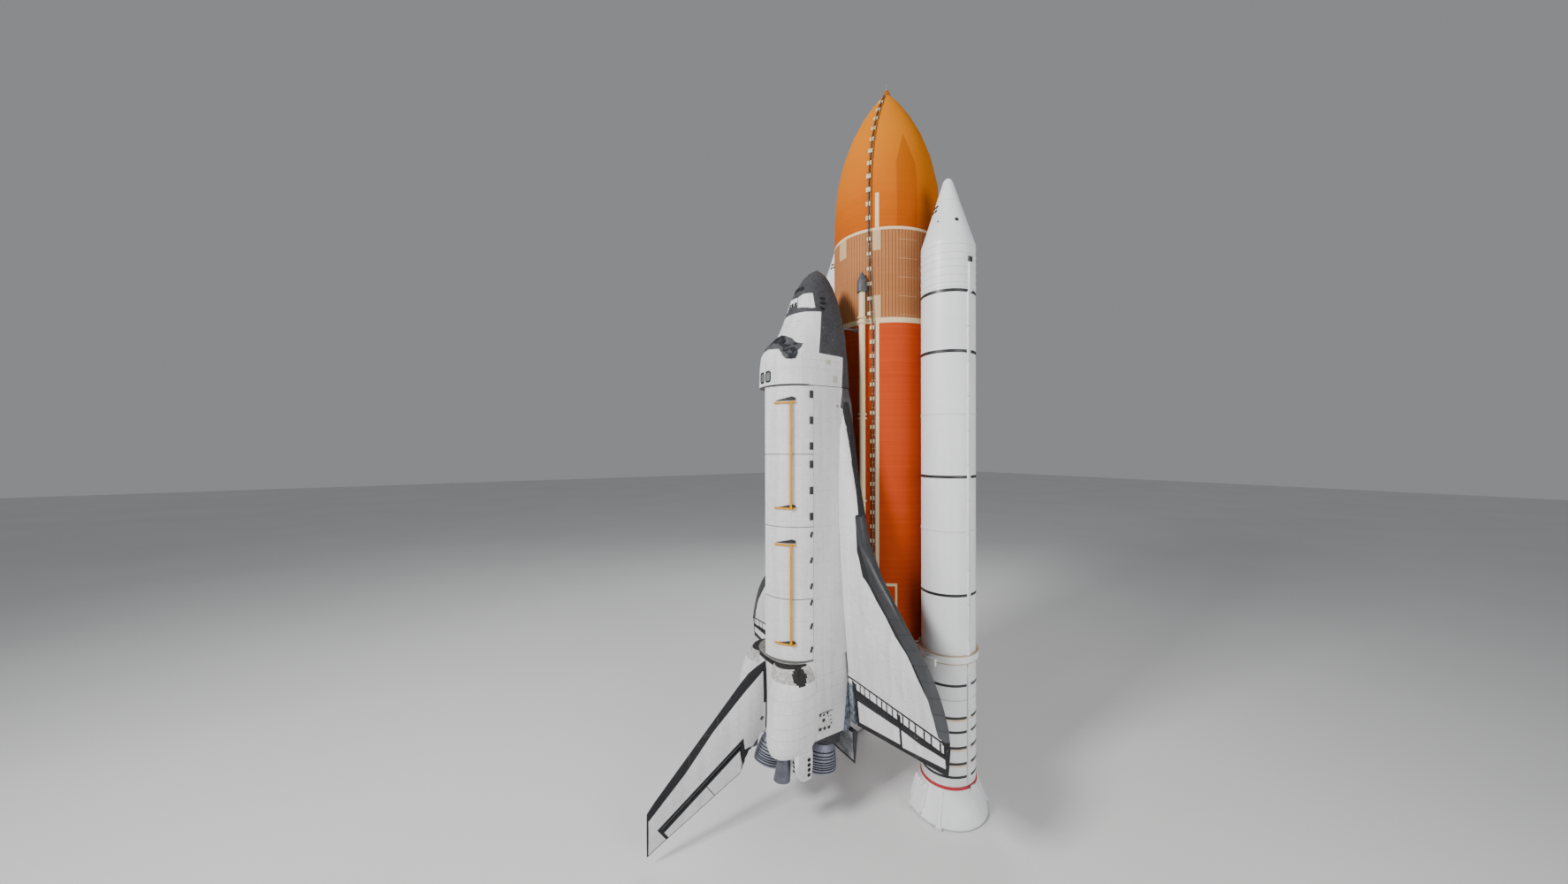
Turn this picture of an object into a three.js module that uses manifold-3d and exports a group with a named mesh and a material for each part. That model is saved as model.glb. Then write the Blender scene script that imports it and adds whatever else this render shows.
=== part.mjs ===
// A space shuttle in its launch stack: winged orbiter, external tank and two solid rocket boosters,
// standing on the boosters' aft skirts. It is drawn at half size.
//
// Shapes are drawn in the vehicle's own station numbers, which are inches at full size: x runs aft,
// y to starboard and z from the belly to the back. The last section turns and scales them into
// millimetres, with the nose up (+Z), starboard at +X and the orbiter's back towards -Y.
import * as THREE from "three";
import { mergeVertices } from "three/addons/utils/BufferGeometryUtils.js";
import Module from "manifold-3d";

const wasm = await Module();
wasm.setup();

// Scale and stations
const modelScale = 0.5;
const millimetresPerInch = 25.4 * modelScale;
const fit = 0.03; // gap between touching pieces, about 0.4 mm once scaled
const floorStation = 2473.6; // tank station of the boosters' feet
const orbiterOffset = { x: 741, z: 336.5 }; // orbiter stations to tank stations
const boosterOffset = { x: 543, y: 250.5, z: 400 }; // booster stations to tank stations

// Driving sizes, in inches
const tank = { radius: 166.5, intertankRadius: 167.8, z: 400 };
const body = { halfWidth: 104.5, bottom: 268, sill: 414, top: 502, front: 582, rear: 1307, base: 1523 };
const bay = { radius: 90, z: 400, wallHalf: 93 };
const wing = { root: 104.8, halfSpan: 466, hingeX: 1387, dihedral: Math.tan(THREE.MathUtils.degToRad(5)) };
const fin = { root: 502.3, tip: 816, rudderFoot: 580, rudderHead: 782 };
const booster = { radius: 73, skirtRadius: 104, foot: 1930.6 };

// Colours, roughness and metalness of each finish
const finish = (color, roughness, metalness = 0) =>
  new THREE.MeshStandardMaterial({ color, roughness, metalness });
const materials = {
  whiteTile: finish(0xdedcda, 0.8),
  whiteBlanket: finish(0xe6e4e0, 0.9),
  blackTile: finish(0x3a3b40, 0.75),
  carbon: finish(0x4b4e54, 0.6),
  darkGlass: finish(0x0b0d10, 0.1),
  bellMetal: finish(0x7a7d84, 0.45, 0.7),
  yellowSteel: finish(0xe3a01c, 0.5),
  orangeFoam: finish(0xd9581c, 0.9),
  amberFoam: finish(0xe08a25, 0.9),
  tanFoam: finish(0xc98a5c, 0.9),
  creamFoam: finish(0xe6cf9f, 0.9),
  whitePaint: finish(0xe6e8ea, 0.5),
  greyMetal: finish(0x8d9094, 0.5, 0.6),
  cabinGrey: finish(0x8b8f92, 0.7),
};

// Solid modelling helpers

// A closed mesh as a solid that can be joined and cut. A mesh that faces inwards is turned round.
function solidOf(geometry) {
  const plain = geometry.clone();
  plain.deleteAttribute("normal");
  plain.deleteAttribute("uv");
  const merged = mergeVertices(plain, 1e-3);
  const p = merged.attributes.position;
  const corners = [];
  let volume = 0;
  const a = new THREE.Vector3();
  const b = new THREE.Vector3();
  const c = new THREE.Vector3();
  for (let i = 0; i < merged.index.count; i += 3) {
    const [j, k, l] = [0, 1, 2].map((n) => merged.index.getX(i + n));
    if (j === k || k === l || l === j) continue;
    corners.push(j, k, l);
    b.fromBufferAttribute(p, k).cross(c.fromBufferAttribute(p, l));
    volume += a.fromBufferAttribute(p, j).dot(b);
  }
  const triVerts = new Uint32Array(volume < 0 ? corners.reverse() : corners);
  const vertProperties = new Float32Array(p.array);
  return new wasm.Manifold(new wasm.Mesh({ numProp: 3, vertProperties, triVerts }));
}

function geometryOf(solid) {
  const { vertProperties, triVerts, numProp } = solid.getMesh();
  const positions = new Float32Array((vertProperties.length / numProp) * 3);
  for (let i = 0; i < positions.length / 3; i += 1) {
    positions.set(vertProperties.subarray(i * numProp, i * numProp + 3), i * 3);
  }
  const geometry = new THREE.BufferGeometry();
  geometry.setAttribute("position", new THREE.BufferAttribute(positions, 3));
  geometry.setIndex(new THREE.BufferAttribute(new Uint32Array(triVerts), 1));
  geometry.computeVertexNormals();
  return geometry;
}

const joined = (first, ...others) => others.reduce((sum, next) => sum.add(next), first);

// How a flat ring point (u, v) and a station s become a point, for rings stacked along each axis.
const along = {
  x: (s, u, v) => [s, u, v],
  y: (s, u, v) => [u, s, v],
  z: (s, u, v) => [u, v, s],
};

// A closed skin over rings of equal length, each { at, ring: [[u, v], ...] }, with flat ends.
function loft(axis, sections) {
  const n = sections[0].ring.length;
  const positions = sections.flatMap(({ at, ring }) => ring.flatMap(([u, v]) => along[axis](at, u, v)));
  const index = [];
  for (let s = 0; s < sections.length - 1; s += 1) {
    for (let i = 0; i < n; i += 1) {
      const [a, b] = [s * n + i, s * n + ((i + 1) % n)];
      index.push(a, b, b + n, a, b + n, a + n);
    }
  }
  const cap = (ring, start, turned) => {
    const contour = ring.map(([u, v]) => new THREE.Vector2(u, v));
    for (const [i, j, k] of THREE.ShapeUtils.triangulateShape(contour, [])) {
      index.push(start + i, start + (turned ? k : j), start + (turned ? j : k));
    }
  };
  const clockwise = (ring) => THREE.ShapeUtils.isClockWise(ring.map(([x, y]) => ({ x, y })));
  const last = sections.length - 1;
  cap(sections[0].ring, 0, !clockwise(sections[0].ring));
  cap(sections[last].ring, last * n, clockwise(sections[last].ring));
  const geometry = new THREE.BufferGeometry();
  geometry.setAttribute("position", new THREE.Float32BufferAttribute(positions, 3));
  geometry.setIndex(index);
  return solidOf(geometry);
}

// A flat outline [[u, v], ...] drawn out along an axis from one station to another.
const prism = (axis, from, to, ring) => loft(axis, [{ at: from, ring }, { at: to, ring }]);

// A profile of [station, radius] pairs turned about the x axis. It starts and ends on the axis or on itself.
function turned(profile, sides) {
  const points = profile.map(([x, r]) => new THREE.Vector2(r, x));
  return solidOf(new THREE.LatheGeometry(points, sides).rotateZ(-Math.PI / 2));
}

// A round rod between two points, tapered when given two radii.
function rod(from, to, radius, sides = 12, endRadius = radius) {
  const [a, b] = [new THREE.Vector3(...from), new THREE.Vector3(...to)];
  const run = b.clone().sub(a);
  const shape = new THREE.CylinderGeometry(endRadius, radius, run.length(), sides);
  const upright = new THREE.Vector3(0, 1, 0);
  shape.applyQuaternion(new THREE.Quaternion().setFromUnitVectors(upright, run.clone().normalize()));
  shape.translate(...a.add(b).multiplyScalar(0.5).toArray());
  return solidOf(shape);
}

function block([x0, x1], [y0, y1], [z0, z1]) {
  const shape = new THREE.BoxGeometry(x1 - x0, y1 - y0, z1 - z0);
  return solidOf(shape.translate((x0 + x1) / 2, (y0 + y1) / 2, (z0 + z1) / 2));
}

const mirrored = (solid) => solid.scale([1, -1, 1]);

// Straight-line value between the rows of a table [[key, value], ...].
function interpolate(rows, key) {
  const next = Math.max(1, rows.findIndex(([k]) => k >= key));
  const [[k0, v0], [k1, v1]] = key > rows.at(-1)[0] ? rows.slice(-2) : [rows[next - 1], rows[next]];
  return v0 + ((v1 - v0) * (key - k0)) / (k1 - k0);
}

// The vehicle's groups
const stack = new THREE.Group();
const [aft, starboard, back] = [[0, 0, -1], [1, 0, 0], [0, -1, 0]].map((v) => new THREE.Vector3(...v));
stack.setRotationFromMatrix(new THREE.Matrix4().makeBasis(aft, starboard, back));
stack.scale.setScalar(millimetresPerInch);
const tankGroup = new THREE.Group();
const orbiter = new THREE.Group();
orbiter.position.set(orbiterOffset.x, 0, orbiterOffset.z);
const boosters = { port: new THREE.Group(), starboard: new THREE.Group() };
boosters.port.position.set(boosterOffset.x, -boosterOffset.y, boosterOffset.z);
boosters.starboard.position.set(boosterOffset.x, boosterOffset.y, boosterOffset.z);
stack.add(tankGroup);
tankGroup.add(orbiter, boosters.port, boosters.starboard);

function put(group, name, solid, material) {
  const mesh = new THREE.Mesh(geometryOf(solid), material);
  mesh.name = name;
  group.add(mesh);
}

// A piece made for starboard is mirrored for port.
function putPair(group, name, solid, material) {
  put(group, `${name}_starboard`, solid, material);
  put(group, `${name}_port`, mirrored(solid), material);
}

// Fuselage cross-sections: a rounded box whose upper and lower halves have their own fullness.
function bodyRing({ half, bottom, wide, top, lower, upper }, inset = 0, count = 24) {
  const ring = [];
  for (let i = 0; i < count; i += 1) {
    const angle = (2 * Math.PI * i) / count;
    const [c, s] = [Math.cos(angle), Math.sin(angle)];
    const power = s < 0 ? lower : upper;
    const height = s < 0 ? wide - bottom : top - wide;
    const y = Math.sign(c) * Math.abs(c) ** (2 / power) * (half - inset);
    ring.push([y, wide + Math.sign(s) * Math.abs(s) ** (2 / power) * (height - inset)]);
  }
  return ring;
}

const bodyLoft = (rows, inset = 0) =>
  loft("x", rows.map(([at, half, bottom, wide, top, lower, upper]) => ({
    at,
    ring: bodyRing({ half, bottom, wide, top, lower, upper }, inset),
  })));

// Forward fuselage, nose cap, forward thruster module, cabin and windows
// columns: station, half width, bottom, widest height, top, lower fullness, upper fullness
const noseRows = [
  [234, 5, 328, 333, 338, 2, 2],
  [242, 17, 320, 335, 352, 2, 2],
  [250, 27, 312, 336, 363, 2.1, 2],
  [264, 39, 303, 339, 375, 2.2, 2],
  [290, 54, 292, 344, 391, 2.4, 2],
  [325, 67, 283, 351, 408, 2.7, 2],
  [365, 78, 277, 357, 420, 3, 2.1],
  [405, 87, 273, 363, 435, 3.3, 2.1],
  [430, 92, 271, 368, 447, 3.5, 2.1],
  [450, 95, 270, 375, 467, 3.7, 2.1],
  [470, 97, 270, 383, 486, 3.9, 2.1],
  [495, 100, 269, 391, 501, 4.1, 2.15],
  [525, 102.5, 268.5, 398, 503, 4.4, 2.2],
  [body.front - 2, 104, 268, 402, 502.5, 4.8, 2.3],
];
const cabin = { wall: 8, front: 405, rear: 574, deckTop: 402, deckDepth: 5 };
const noseCapEnd = 258;
const thrusterModule = { front: noseCapEnd, rear: 376, floor: 372 };
const hatch = { x: 487, z: 357, radius: 20, thickness: 5, gap: 0.6 };
const windowBand = [[411, 437], [480, 437], [501, 462], [490, 476], [466, 482], [426, 482]];
const overheadPane = { front: 541, rear: 569, inner: 3.5, outer: 26 };

const noseSolid = bodyLoft(noseRows);
const cabinRows = [[cabin.front, ...noseRows[7].slice(1)], ...noseRows.slice(8, 13)];
cabinRows.push([cabin.rear, ...noseRows[13].slice(1)]);
const cabinVoid = bodyLoft(cabinRows, cabin.wall);
const shell = noseSolid.subtract(cabinVoid);
const noseFront = block([200, noseCapEnd], [-60, 60], [280, 400]);
const moduleBox = (gap) =>
  block([noseCapEnd - 40, thrusterModule.rear + gap], [-90, 90], [thrusterModule.floor - gap, 450]);
const grown = (grow) => ([x, z]) => [x + (x > 460 ? grow : -grow), z + (z > 460 ? grow : -grow)];
const bandPrism = (grow) => prism("y", -110, 110, windowBand.map(grown(grow)));
const overheadPrism = (grow, side) => {
  const ys = [side * (overheadPane.inner - grow), side * (overheadPane.outer + grow)].sort((a, b) => a - b);
  return block([overheadPane.front - grow, overheadPane.rear + grow], ys, [490, 520]);
};
const hatchPlug = (radius) => rod([hatch.x, -120, hatch.z], [hatch.x, -80, hatch.z], radius, 24);
const hatchSkin = noseSolid.subtract(bodyLoft(noseRows, hatch.thickness));
const glassShell = bodyLoft(noseRows, 1).subtract(bodyLoft(cabinRows, 4));

const windowCuts = [bandPrism(0), overheadPrism(0, 1), overheadPrism(0, -1)];
const forwardCuts = [...windowCuts, hatchPlug(hatch.radius + hatch.gap), noseFront, moduleBox(fit)];
const forwardFuselage = forwardCuts.reduce((left, cutter) => left.subtract(cutter), shell);
const noseCap = noseSolid.intersect(block([200, noseCapEnd - fit], [-60, 60], [280, 400]));
put(orbiter, "forward_fuselage", forwardFuselage, materials.whiteTile);
put(orbiter, "nose_cap", noseCap, materials.carbon);
put(
  orbiter,
  "forward_thruster_module",
  noseSolid.intersect(moduleBox(0)).subtract(block([200, noseCapEnd + fit], [-60, 60], [280, 450])),
  materials.whiteBlanket,
);
put(orbiter, "windshield", glassShell.intersect(bandPrism(-fit)), materials.darkGlass);
put(orbiter, "overhead_window_starboard", glassShell.intersect(overheadPrism(-fit, 1)), materials.darkGlass);
put(orbiter, "overhead_window_port", glassShell.intersect(overheadPrism(-fit, -1)), materials.darkGlass);
put(orbiter, "crew_hatch", hatchSkin.intersect(hatchPlug(hatch.radius)), materials.whiteTile);

// Flight deck floor with the two front seats and the panel between them.
function flightDeck() {
  const floor = block([440, 566], [-80, 80], [cabin.deckTop - cabin.deckDepth, cabin.deckTop]);
  const panel = block([446, 458], [-55, 55], [cabin.deckTop - 1, 430]);
  const seats = [-24, 24].flatMap((y) => [
    block([486, 506], [y - 10, y + 10], [cabin.deckTop - 1, 416]),
    block([502, 508], [y - 10, y + 10], [cabin.deckTop - 1, 446]),
  ]);
  return joined(floor, panel, ...seats).intersect(bodyLoft(cabinRows, cabin.wall + 0.1));
}
put(orbiter, "flight_deck", flightDeck(), materials.cabinGrey);

// Mid fuselage: the payload bay's trough, with its sills. Its lower corners are rounder at the front.
function troughRing(corner) {
  const w = body.halfWidth;
  const outer = [[w, body.sill], [w, body.bottom + corner]];
  for (let i = 1; i <= 4; i += 1) {
    const angle = (i * Math.PI) / 8;
    outer.push([w - corner * (1 - Math.cos(angle)), body.bottom + corner * (1 - Math.sin(angle))]);
  }
  const inner = [[bay.wallHalf, body.sill]];
  for (let i = 0; i <= 8; i += 1) {
    const angle = (i * Math.PI) / 16;
    inner.push([bay.radius * Math.cos(angle), bay.z - 5 - bay.radius * Math.sin(angle)]);
  }
  const half = [...outer.reverse(), ...inner];
  const other = half.slice(0, -1).reverse().map(([y, z]) => [-y, z]);
  return [...half, ...other];
}
// columns: station, radius of the lower corners
const troughRows = [[body.front + fit, 58], [620, 40], [660, 30], [body.rear - fit, 30]];
const trough = loft("x", troughRows.map(([at, corner]) => ({ at, ring: troughRing(corner) })));
put(orbiter, "mid_fuselage", trough, materials.whiteTile);

// Payload bay doors and the yellow lifting beams bolted to them. The starboard door is shut. The port
// door stands open, swung out about the hinge along its sill, and carries its beams with it.
const door = { front: body.front + 1, rear: body.rear - 1, foot: body.sill + 0.9, thickness: 5 };
const doorHinge = { y: 105.3, z: body.sill + 0.5, open: 175.5 };
const beamRuns = [[625, 906], [997, 1261]];
const beam = { width: 5, depth: 5, clear: 0.05, seat: 2, footAngles: [30.5, 66.5], barAngle: 38 };

// A point on the door's outer curve, moved outwards by an offset. The angle is in degrees from the sill.
function doorPoint(degrees, offset) {
  const angle = THREE.MathUtils.degToRad(degrees);
  const [halfWidth, rise] = [body.halfWidth, body.top - door.foot];
  const normal = new THREE.Vector2(rise * Math.cos(angle), halfWidth * Math.sin(angle)).normalize();
  const y = halfWidth * Math.cos(angle) + normal.x * offset;
  return [y, door.foot + rise * Math.sin(angle) + normal.y * offset];
}

function doorArc(from, to, steps, offset) {
  return Array.from({ length: steps + 1 }, (_, i) => doorPoint(from + ((to - from) * i) / steps, offset));
}

function doorShell() {
  const ring = [...doorArc(0, 90, 10, 0), ...doorArc(0, 90, 10, -door.thickness).reverse()];
  const centreGap = block([500, 1400], [-10, 0.25], [400, 520]);
  return prism("x", door.front, door.rear, ring).subtract(centreGap);
}

function liftingBeam([from, to]) {
  const foot = [
    ...doorArc(...beam.footAngles, 6, -1),
    ...doorArc(...beam.footAngles, 6, beam.seat + 1).reverse(),
  ];
  const feet = [from, to - beam.width].map((x) => prism("x", x, x + beam.width, foot));
  const [low, high] = [beam.barAngle - 1.6, beam.barAngle + 1.6];
  const bar = [
    doorPoint(low, beam.seat),
    doorPoint(high, beam.seat),
    doorPoint(high, beam.seat + beam.depth),
    doorPoint(low, beam.seat + beam.depth),
  ];
  const doorSpace = prism("x", from - 10, to + 10, [...doorArc(0, 90, 10, beam.clear), [0, 380], [90, 380]]);
  return joined(...feet, prism("x", from, to, bar)).subtract(doorSpace);
}

function openedToPort(solid) {
  const { y, z, open } = doorHinge;
  return mirrored(solid).translate([0, y, -z]).rotate([open, 0, 0]).translate([0, -y, z]);
}
const doorPieces = [
  ["payload_door", doorShell(), materials.whiteBlanket],
  ["door_beam_forward", liftingBeam(beamRuns[0]), materials.yellowSteel],
  ["door_beam_aft", liftingBeam(beamRuns[1]), materials.yellowSteel],
];
for (const [name, solid, material] of doorPieces) {
  put(orbiter, `${name}_starboard`, solid, material);
  put(orbiter, `${name}_port`, openedToPort(solid), material);
}

// Aft fuselage with the three engine domes and the service plates on its sides
// columns: station, half width, bottom, widest height, top, lower fullness, upper fullness
const aftRows = [
  [body.rear, 104.5, 268, 400, 502, 4.8, 2.6],
  [1330, 105, 268, 405, 502, 5, 3.2],
  [1400, 107, 269, 410, 502, 5.5, 4],
  [body.base, 109, 272, 412, 502, 6, 4.5],
];
// columns: name, gimbal station, side, height, pitch and outboard splay in degrees
const engineRows = [
  ["main_engine_upper", 1445, 0, 443, 16, 0],
  ["main_engine_port", 1468.2, -53, 342.6, 10, -3.5],
  ["main_engine_starboard", 1468.2, 53, 342.6, 10, 3.5],
];
const bell = { ball: 95, neck: 33, exit: 157, lip: 47, domeGap: 0.95, swing: 33 };
const servicePlate = { x: 1473.5, z: 379, halfLength: 24, halfHeight: 22, proud: 2 };

// Turns a shape drawn about the x axis to an engine's rest direction and carries it to its gimbal.
function aim(solid, [, x, y, z, pitch, splay]) {
  return solid.rotate([0, -pitch, splay]).translate([x, y, z]);
}

// The dome's ball-shaped face ends at the swing angle, and the bell moves in the cone behind it.
const swingAngle = THREE.MathUtils.degToRad(bell.swing);
const swingArc = [0, 0.25, 0.5, 0.75, 1].map((share) => {
  const angle = swingAngle * share;
  const reach = bell.ball - bell.domeGap;
  return [reach * Math.cos(angle), reach * Math.sin(angle)];
});
const engineDome = () => turned([...swingArc, [30, swingArc.at(-1)[1]], [30, 0]], 24);
const swingSpace = () => turned([...swingArc, [200, 200 * Math.tan(swingAngle)], [200, 0]], 24);

function aftFuselage() {
  const hull = bodyLoft(aftRows);
  const behind = block([body.rear + 40, 1640], [-106, 106], [318, 495]);
  const domes = joined(...engineRows.map((row) => aim(engineDome(), row))).intersect(behind);
  const swing = joined(...engineRows.map((row) => aim(swingSpace(), row)));
  const { x, z, halfLength, halfHeight, proud } = servicePlate;
  const [along, up] = [[x - halfLength, x + halfLength], [z - halfHeight, z + halfHeight]];
  const plate = block(along, [100, 108.5 + proud], up);
  return joined(hull, domes, plate, mirrored(plate)).subtract(swing);
}
put(orbiter, "aft_fuselage", aftFuselage(), materials.whiteTile);

// Main engines: open bells whose front ends are part of a ball about the gimbal
function engineBell() {
  const front = [0, 0.5, 1].map((share) => {
    const r = bell.neck * share;
    return [Math.sqrt(bell.ball * bell.ball - r * r), r];
  });
  const outside = [[112, 40.2], [134, 44.3], [bell.exit, bell.lip]];
  const inside = [[bell.exit, bell.lip - 1.8], [134, 42.1], [112, 37.2], [101, 29], [99, 0]];
  return turned([...front, ...outside, ...inside], 24);
}
for (const row of engineRows) put(orbiter, row[0], aim(engineBell(), row), materials.bellMetal);

// Body flap under the engines
const flap = { hingeX: 1532.5, hingeZ: 287, nose: 8.5, tail: 1613, tailZ: 289, halfSpan: 120 };
// An aerofoil's moving tail: a round nose about its hinge and straight sides to a thin edge.
function tailRing(hingeX, hingeZ, nose, tailX, tailZ, edge = 0.8) {
  const ring = [[tailX, tailZ - edge]];
  for (let i = 0; i <= 6; i += 1) {
    const angle = -Math.PI / 2 - (i * Math.PI) / 6;
    ring.push([hingeX + nose * Math.cos(angle), hingeZ + nose * Math.sin(angle)]);
  }
  ring.push([tailX, tailZ + edge]);
  return ring;
}
const flapRing = tailRing(flap.hingeX, flap.hingeZ, flap.nose, flap.tail, flap.tailZ);
put(orbiter, "body_flap", prism("y", -flap.halfSpan, flap.halfSpan, flapRing), materials.blackTile);

// Manoeuvring pods on the aft fuselage's shoulders, each with its thruster housing and engine bell
// columns: station, centre side, half width, centre height, half height
const podRows = [
  [1308, 64, 41, 458, 44],
  [1322, 70, 47, 461, 51],
  [1350, 79, 52, 463, 59],
  [1405, 86, 54.5, 469, 66],
  [1480, 89, 52.5, 473, 68],
  [1505, 91, 48.5, 475, 65.5],
  [1522.6, 92, 40, 477, 57],
];
// columns: station, lower edge, upper edge, outer side
const thrusterRows = [
  [1480, 443, 482, 134],
  [1520, 437, 489, 140],
  [1558, 437, 489, 140],
  [1588, 439, 470, 138],
];
const thrusterBox = { inner: 112, bevel: 6 };
const podBell = { x: 1520, y: 88, z: 491, pitch: 10, splay: 3, base: 5.9, exit: 73, neck: 14.5, lip: 21.5 };

function podSkin() {
  const skin = loft("x", podRows.map(([at, y, half, z, rise]) => ({
    at,
    ring: bodyRing({ half, bottom: -rise, wide: 0, top: rise, lower: 2.3, upper: 2.05 }, 0, 20)
      .map(([u, v]) => [u + y, v + z]),
  })));
  const { inner, bevel } = thrusterBox;
  const housing = loft("x", thrusterRows.map(([at, low, high, outer]) => ({
    at,
    ring: [
      [inner, low + bevel],
      [inner + bevel, low],
      [outer - bevel, low],
      [outer, low + bevel],
      [outer, high - bevel],
      [outer - bevel, high],
      [inner, high],
    ],
  })));
  return joined(skin, housing);
}
const aheadOfAft = bodyLoft([[1200, ...aftRows[0].slice(1)], aftRows[0]], -fit);
const shoulders = joined(bodyLoft(aftRows, -fit), aheadOfAft);

function podNozzle() {
  const { base, exit, neck, lip } = podBell;
  const outside = [[base, 0], [base, neck], [base + 28, neck + 3.4], [exit, lip]];
  const inside = [[exit, lip - 1.2], [base + 28, neck + 2.1], [base + 8, neck - 4], [base + 6, 0]];
  const shape = turned([...outside, ...inside], 20);
  return shape.rotate([0, -podBell.pitch, podBell.splay]).translate([podBell.x, podBell.y, podBell.z]);
}
put(orbiter, "manoeuvring_pod_starboard", podSkin().subtract(shoulders), materials.whiteBlanket);
put(orbiter, "manoeuvring_pod_port", mirrored(podSkin()).subtract(shoulders), materials.whiteBlanket);
putPair(orbiter, "pod_nozzle", podNozzle(), materials.bellMetal);

// Wings with their gloves: sections are cut across the body, so each ring spans from root to leading edge
// columns: station, leading edge's distance from the centreline
const leadingEdge = [
  [620, 105.4], [700, 114], [780, 128], [860, 150], [930, 168], [1000, 186], [1070, 241],
  [1150, 320], [1230, 400], [1262, 423], [1290, 438], [1320, 451], [1350, 461], [1387, 467],
];
const trailingEdge = (y) => 1506 - 0.1773 * (y - 126);
const noseStation = (y) => interpolate(leadingEdge.map(([x, edge]) => [edge, x]), y);
// columns: distance from the centreline, greatest thickness there
const fullThickness = [[104.8, 66], [130, 58], [170, 54], [466, 16]];
const hingeThickness = [[127, 29], [462, 13]];
// The underside rises towards the leading edge, over this share of the chord.
const riseShare = [[104.8, 0.22], [150, 0.22], [190, 0.14], [466, 0.14]];
// It rises by this share of the greatest thickness.
const riseHeight = [
  [104.8, 0.5], [112, 0.48], [124, 0.42], [143, 0.34], [179, 0.34], [238, 0.42], [300, 0.5], [466, 0.5],
];
const elevon = { nose: 0.75, innerEnd: 127, split: 312, outerEnd: 462, gap: 0.8, lip: 1381 };

// The front third is a symmetric aerofoil. Behind its crest the thickness falls to what it is at the hinge.
const crestShare = 0.3;
function wingThickness(chordShare, hingeShare, y) {
  const full = interpolate(fullThickness, y);
  const c = Math.max(chordShare, 0);
  if (c < crestShare) {
    const rest = 0.126 * c + 0.3516 * c ** 2 - 0.2843 * c ** 3 + 0.1015 * c ** 4;
    const rounded = 0.2969 * Math.sqrt(c) - rest;
    return Math.max(0.6, full * 10 * rounded);
  }
  const fall = Math.min(1, (c - crestShare) / (hingeShare - crestShare)) ** 1.4;
  return full + (interpolate(hingeThickness, y) - full) * fall;
}

function wingHeights(x, y) {
  const [nose, tail] = [noseStation(y), trailingEdge(y)];
  const chordShare = (x - nose) / (tail - nose);
  const hingeShare = (wing.hingeX - nose) / (tail - nose);
  const ahead = Math.max(0, 1 - Math.max(chordShare, 0) / interpolate(riseShare, y));
  const rise = interpolate(riseHeight, y) * interpolate(fullThickness, y) * ahead ** 2;
  const lower = body.bottom + (y - body.halfWidth) * wing.dihedral + rise;
  return { lower, upper: lower + wingThickness(chordShare, hingeShare, y) };
}

function wingRing(x) {
  const edge = interpolate(leadingEdge, x);
  const shares = [0, 0.25, 0.5, 0.72, 0.87, 0.95, 0.985];
  const ys = shares.map((share) => wing.root + (edge - wing.root) * share);
  const lower = ys.map((y) => [y, wingHeights(x, y).lower]);
  const upper = ys.map((y) => [y, wingHeights(x, y).upper]).reverse();
  const tip = wingHeights(x, edge);
  return [...lower, [edge, (tip.lower + tip.upper) / 2], ...upper];
}

const hingeHeight = (y) => {
  const { lower, upper } = wingHeights(wing.hingeX, y);
  return (lower + upper) / 2;
};
const noseRadius = (y) => {
  const { lower, upper } = wingHeights(wing.hingeX, y);
  return (upper - lower) / 2;
};
const elevonEnds = [elevon.innerEnd, elevon.outerEnd];
const hingeLine = elevonEnds.map((y) => [wing.hingeX, y, hingeHeight(y)]);
const onHinge = (y) => interpolate([[elevonEnds[0], hingeLine[0][2]], [elevonEnds[1], hingeLine[1][2]]], y);
const cove = (y) => interpolate(elevonEnds.map((end) => [end, noseRadius(end)]), y);

function wingSolid() {
  const stations = [...leadingEdge.slice(0, -1).map(([x]) => x), elevon.lip];
  const skin = loft("x", stations.map((at) => ({ at, ring: wingRing(at) })));
  const stub = loft("y", [wing.root, 122].map((at) => ({
    at,
    ring: [[1360, 270], [1505, 284], [1505, 290], [1440, 297], [1360, 302]],
  })));
  const ends = [elevonEnds[0] - 2 * elevon.gap, wing.halfSpan + 5];
  const [inner, outer] = ends.map((y) => [wing.hingeX, y, onHinge(y)]);
  const groove = rod(inner, outer, cove(ends[0]) + elevon.nose, 24, cove(ends[1]) + elevon.nose);
  return joined(skin, stub).subtract(groove);
}

// The carbon leading edge is the strip ahead of a line. The line runs along the glove, then keeps
// its distance from the wing's edge.
const edgeStrip = { back: 21, from: 929, to: 1372, glove: [[929, 157], [1000, 174], [1035, 190]] };
function edgePrism(gap) {
  const back = edgeStrip.back - gap;
  const start = edgeStrip.glove.map(([x, y]) => [x + gap, y + gap]);
  const inner = leadingEdge.filter(([x]) => x >= 1070).map(([x, y]) => [x + back, y - back]);
  const outline = [...start, ...inner, [1460, 440], [1460, 490], [edgeStrip.from + gap, 490]];
  return prism("z", 200, 400, outline).intersect(block([900, edgeStrip.to - gap], [100, 500], [200, 400]));
}

function elevonSolid(from, to) {
  const ring = (y) => tailRing(wing.hingeX, onHinge(y), cove(y), trailingEdge(y), onHinge(y) + 1);
  return loft("y", [from, to].map((at) => ({ at, ring: ring(at) })));
}
const wholeWing = wingSolid();
putPair(orbiter, "wing", wholeWing.subtract(edgePrism(0)), materials.whiteTile);
putPair(orbiter, "wing_leading_edge", wholeWing.intersect(edgePrism(fit)), materials.carbon);
const inboardElevon = elevonSolid(elevon.innerEnd, elevon.split - elevon.gap);
const outboardElevon = elevonSolid(elevon.split + elevon.gap, elevon.outerEnd);
putPair(orbiter, "elevon_inboard", inboardElevon, materials.whiteTile);
putPair(orbiter, "elevon_outboard", outboardElevon, materials.whiteTile);

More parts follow.
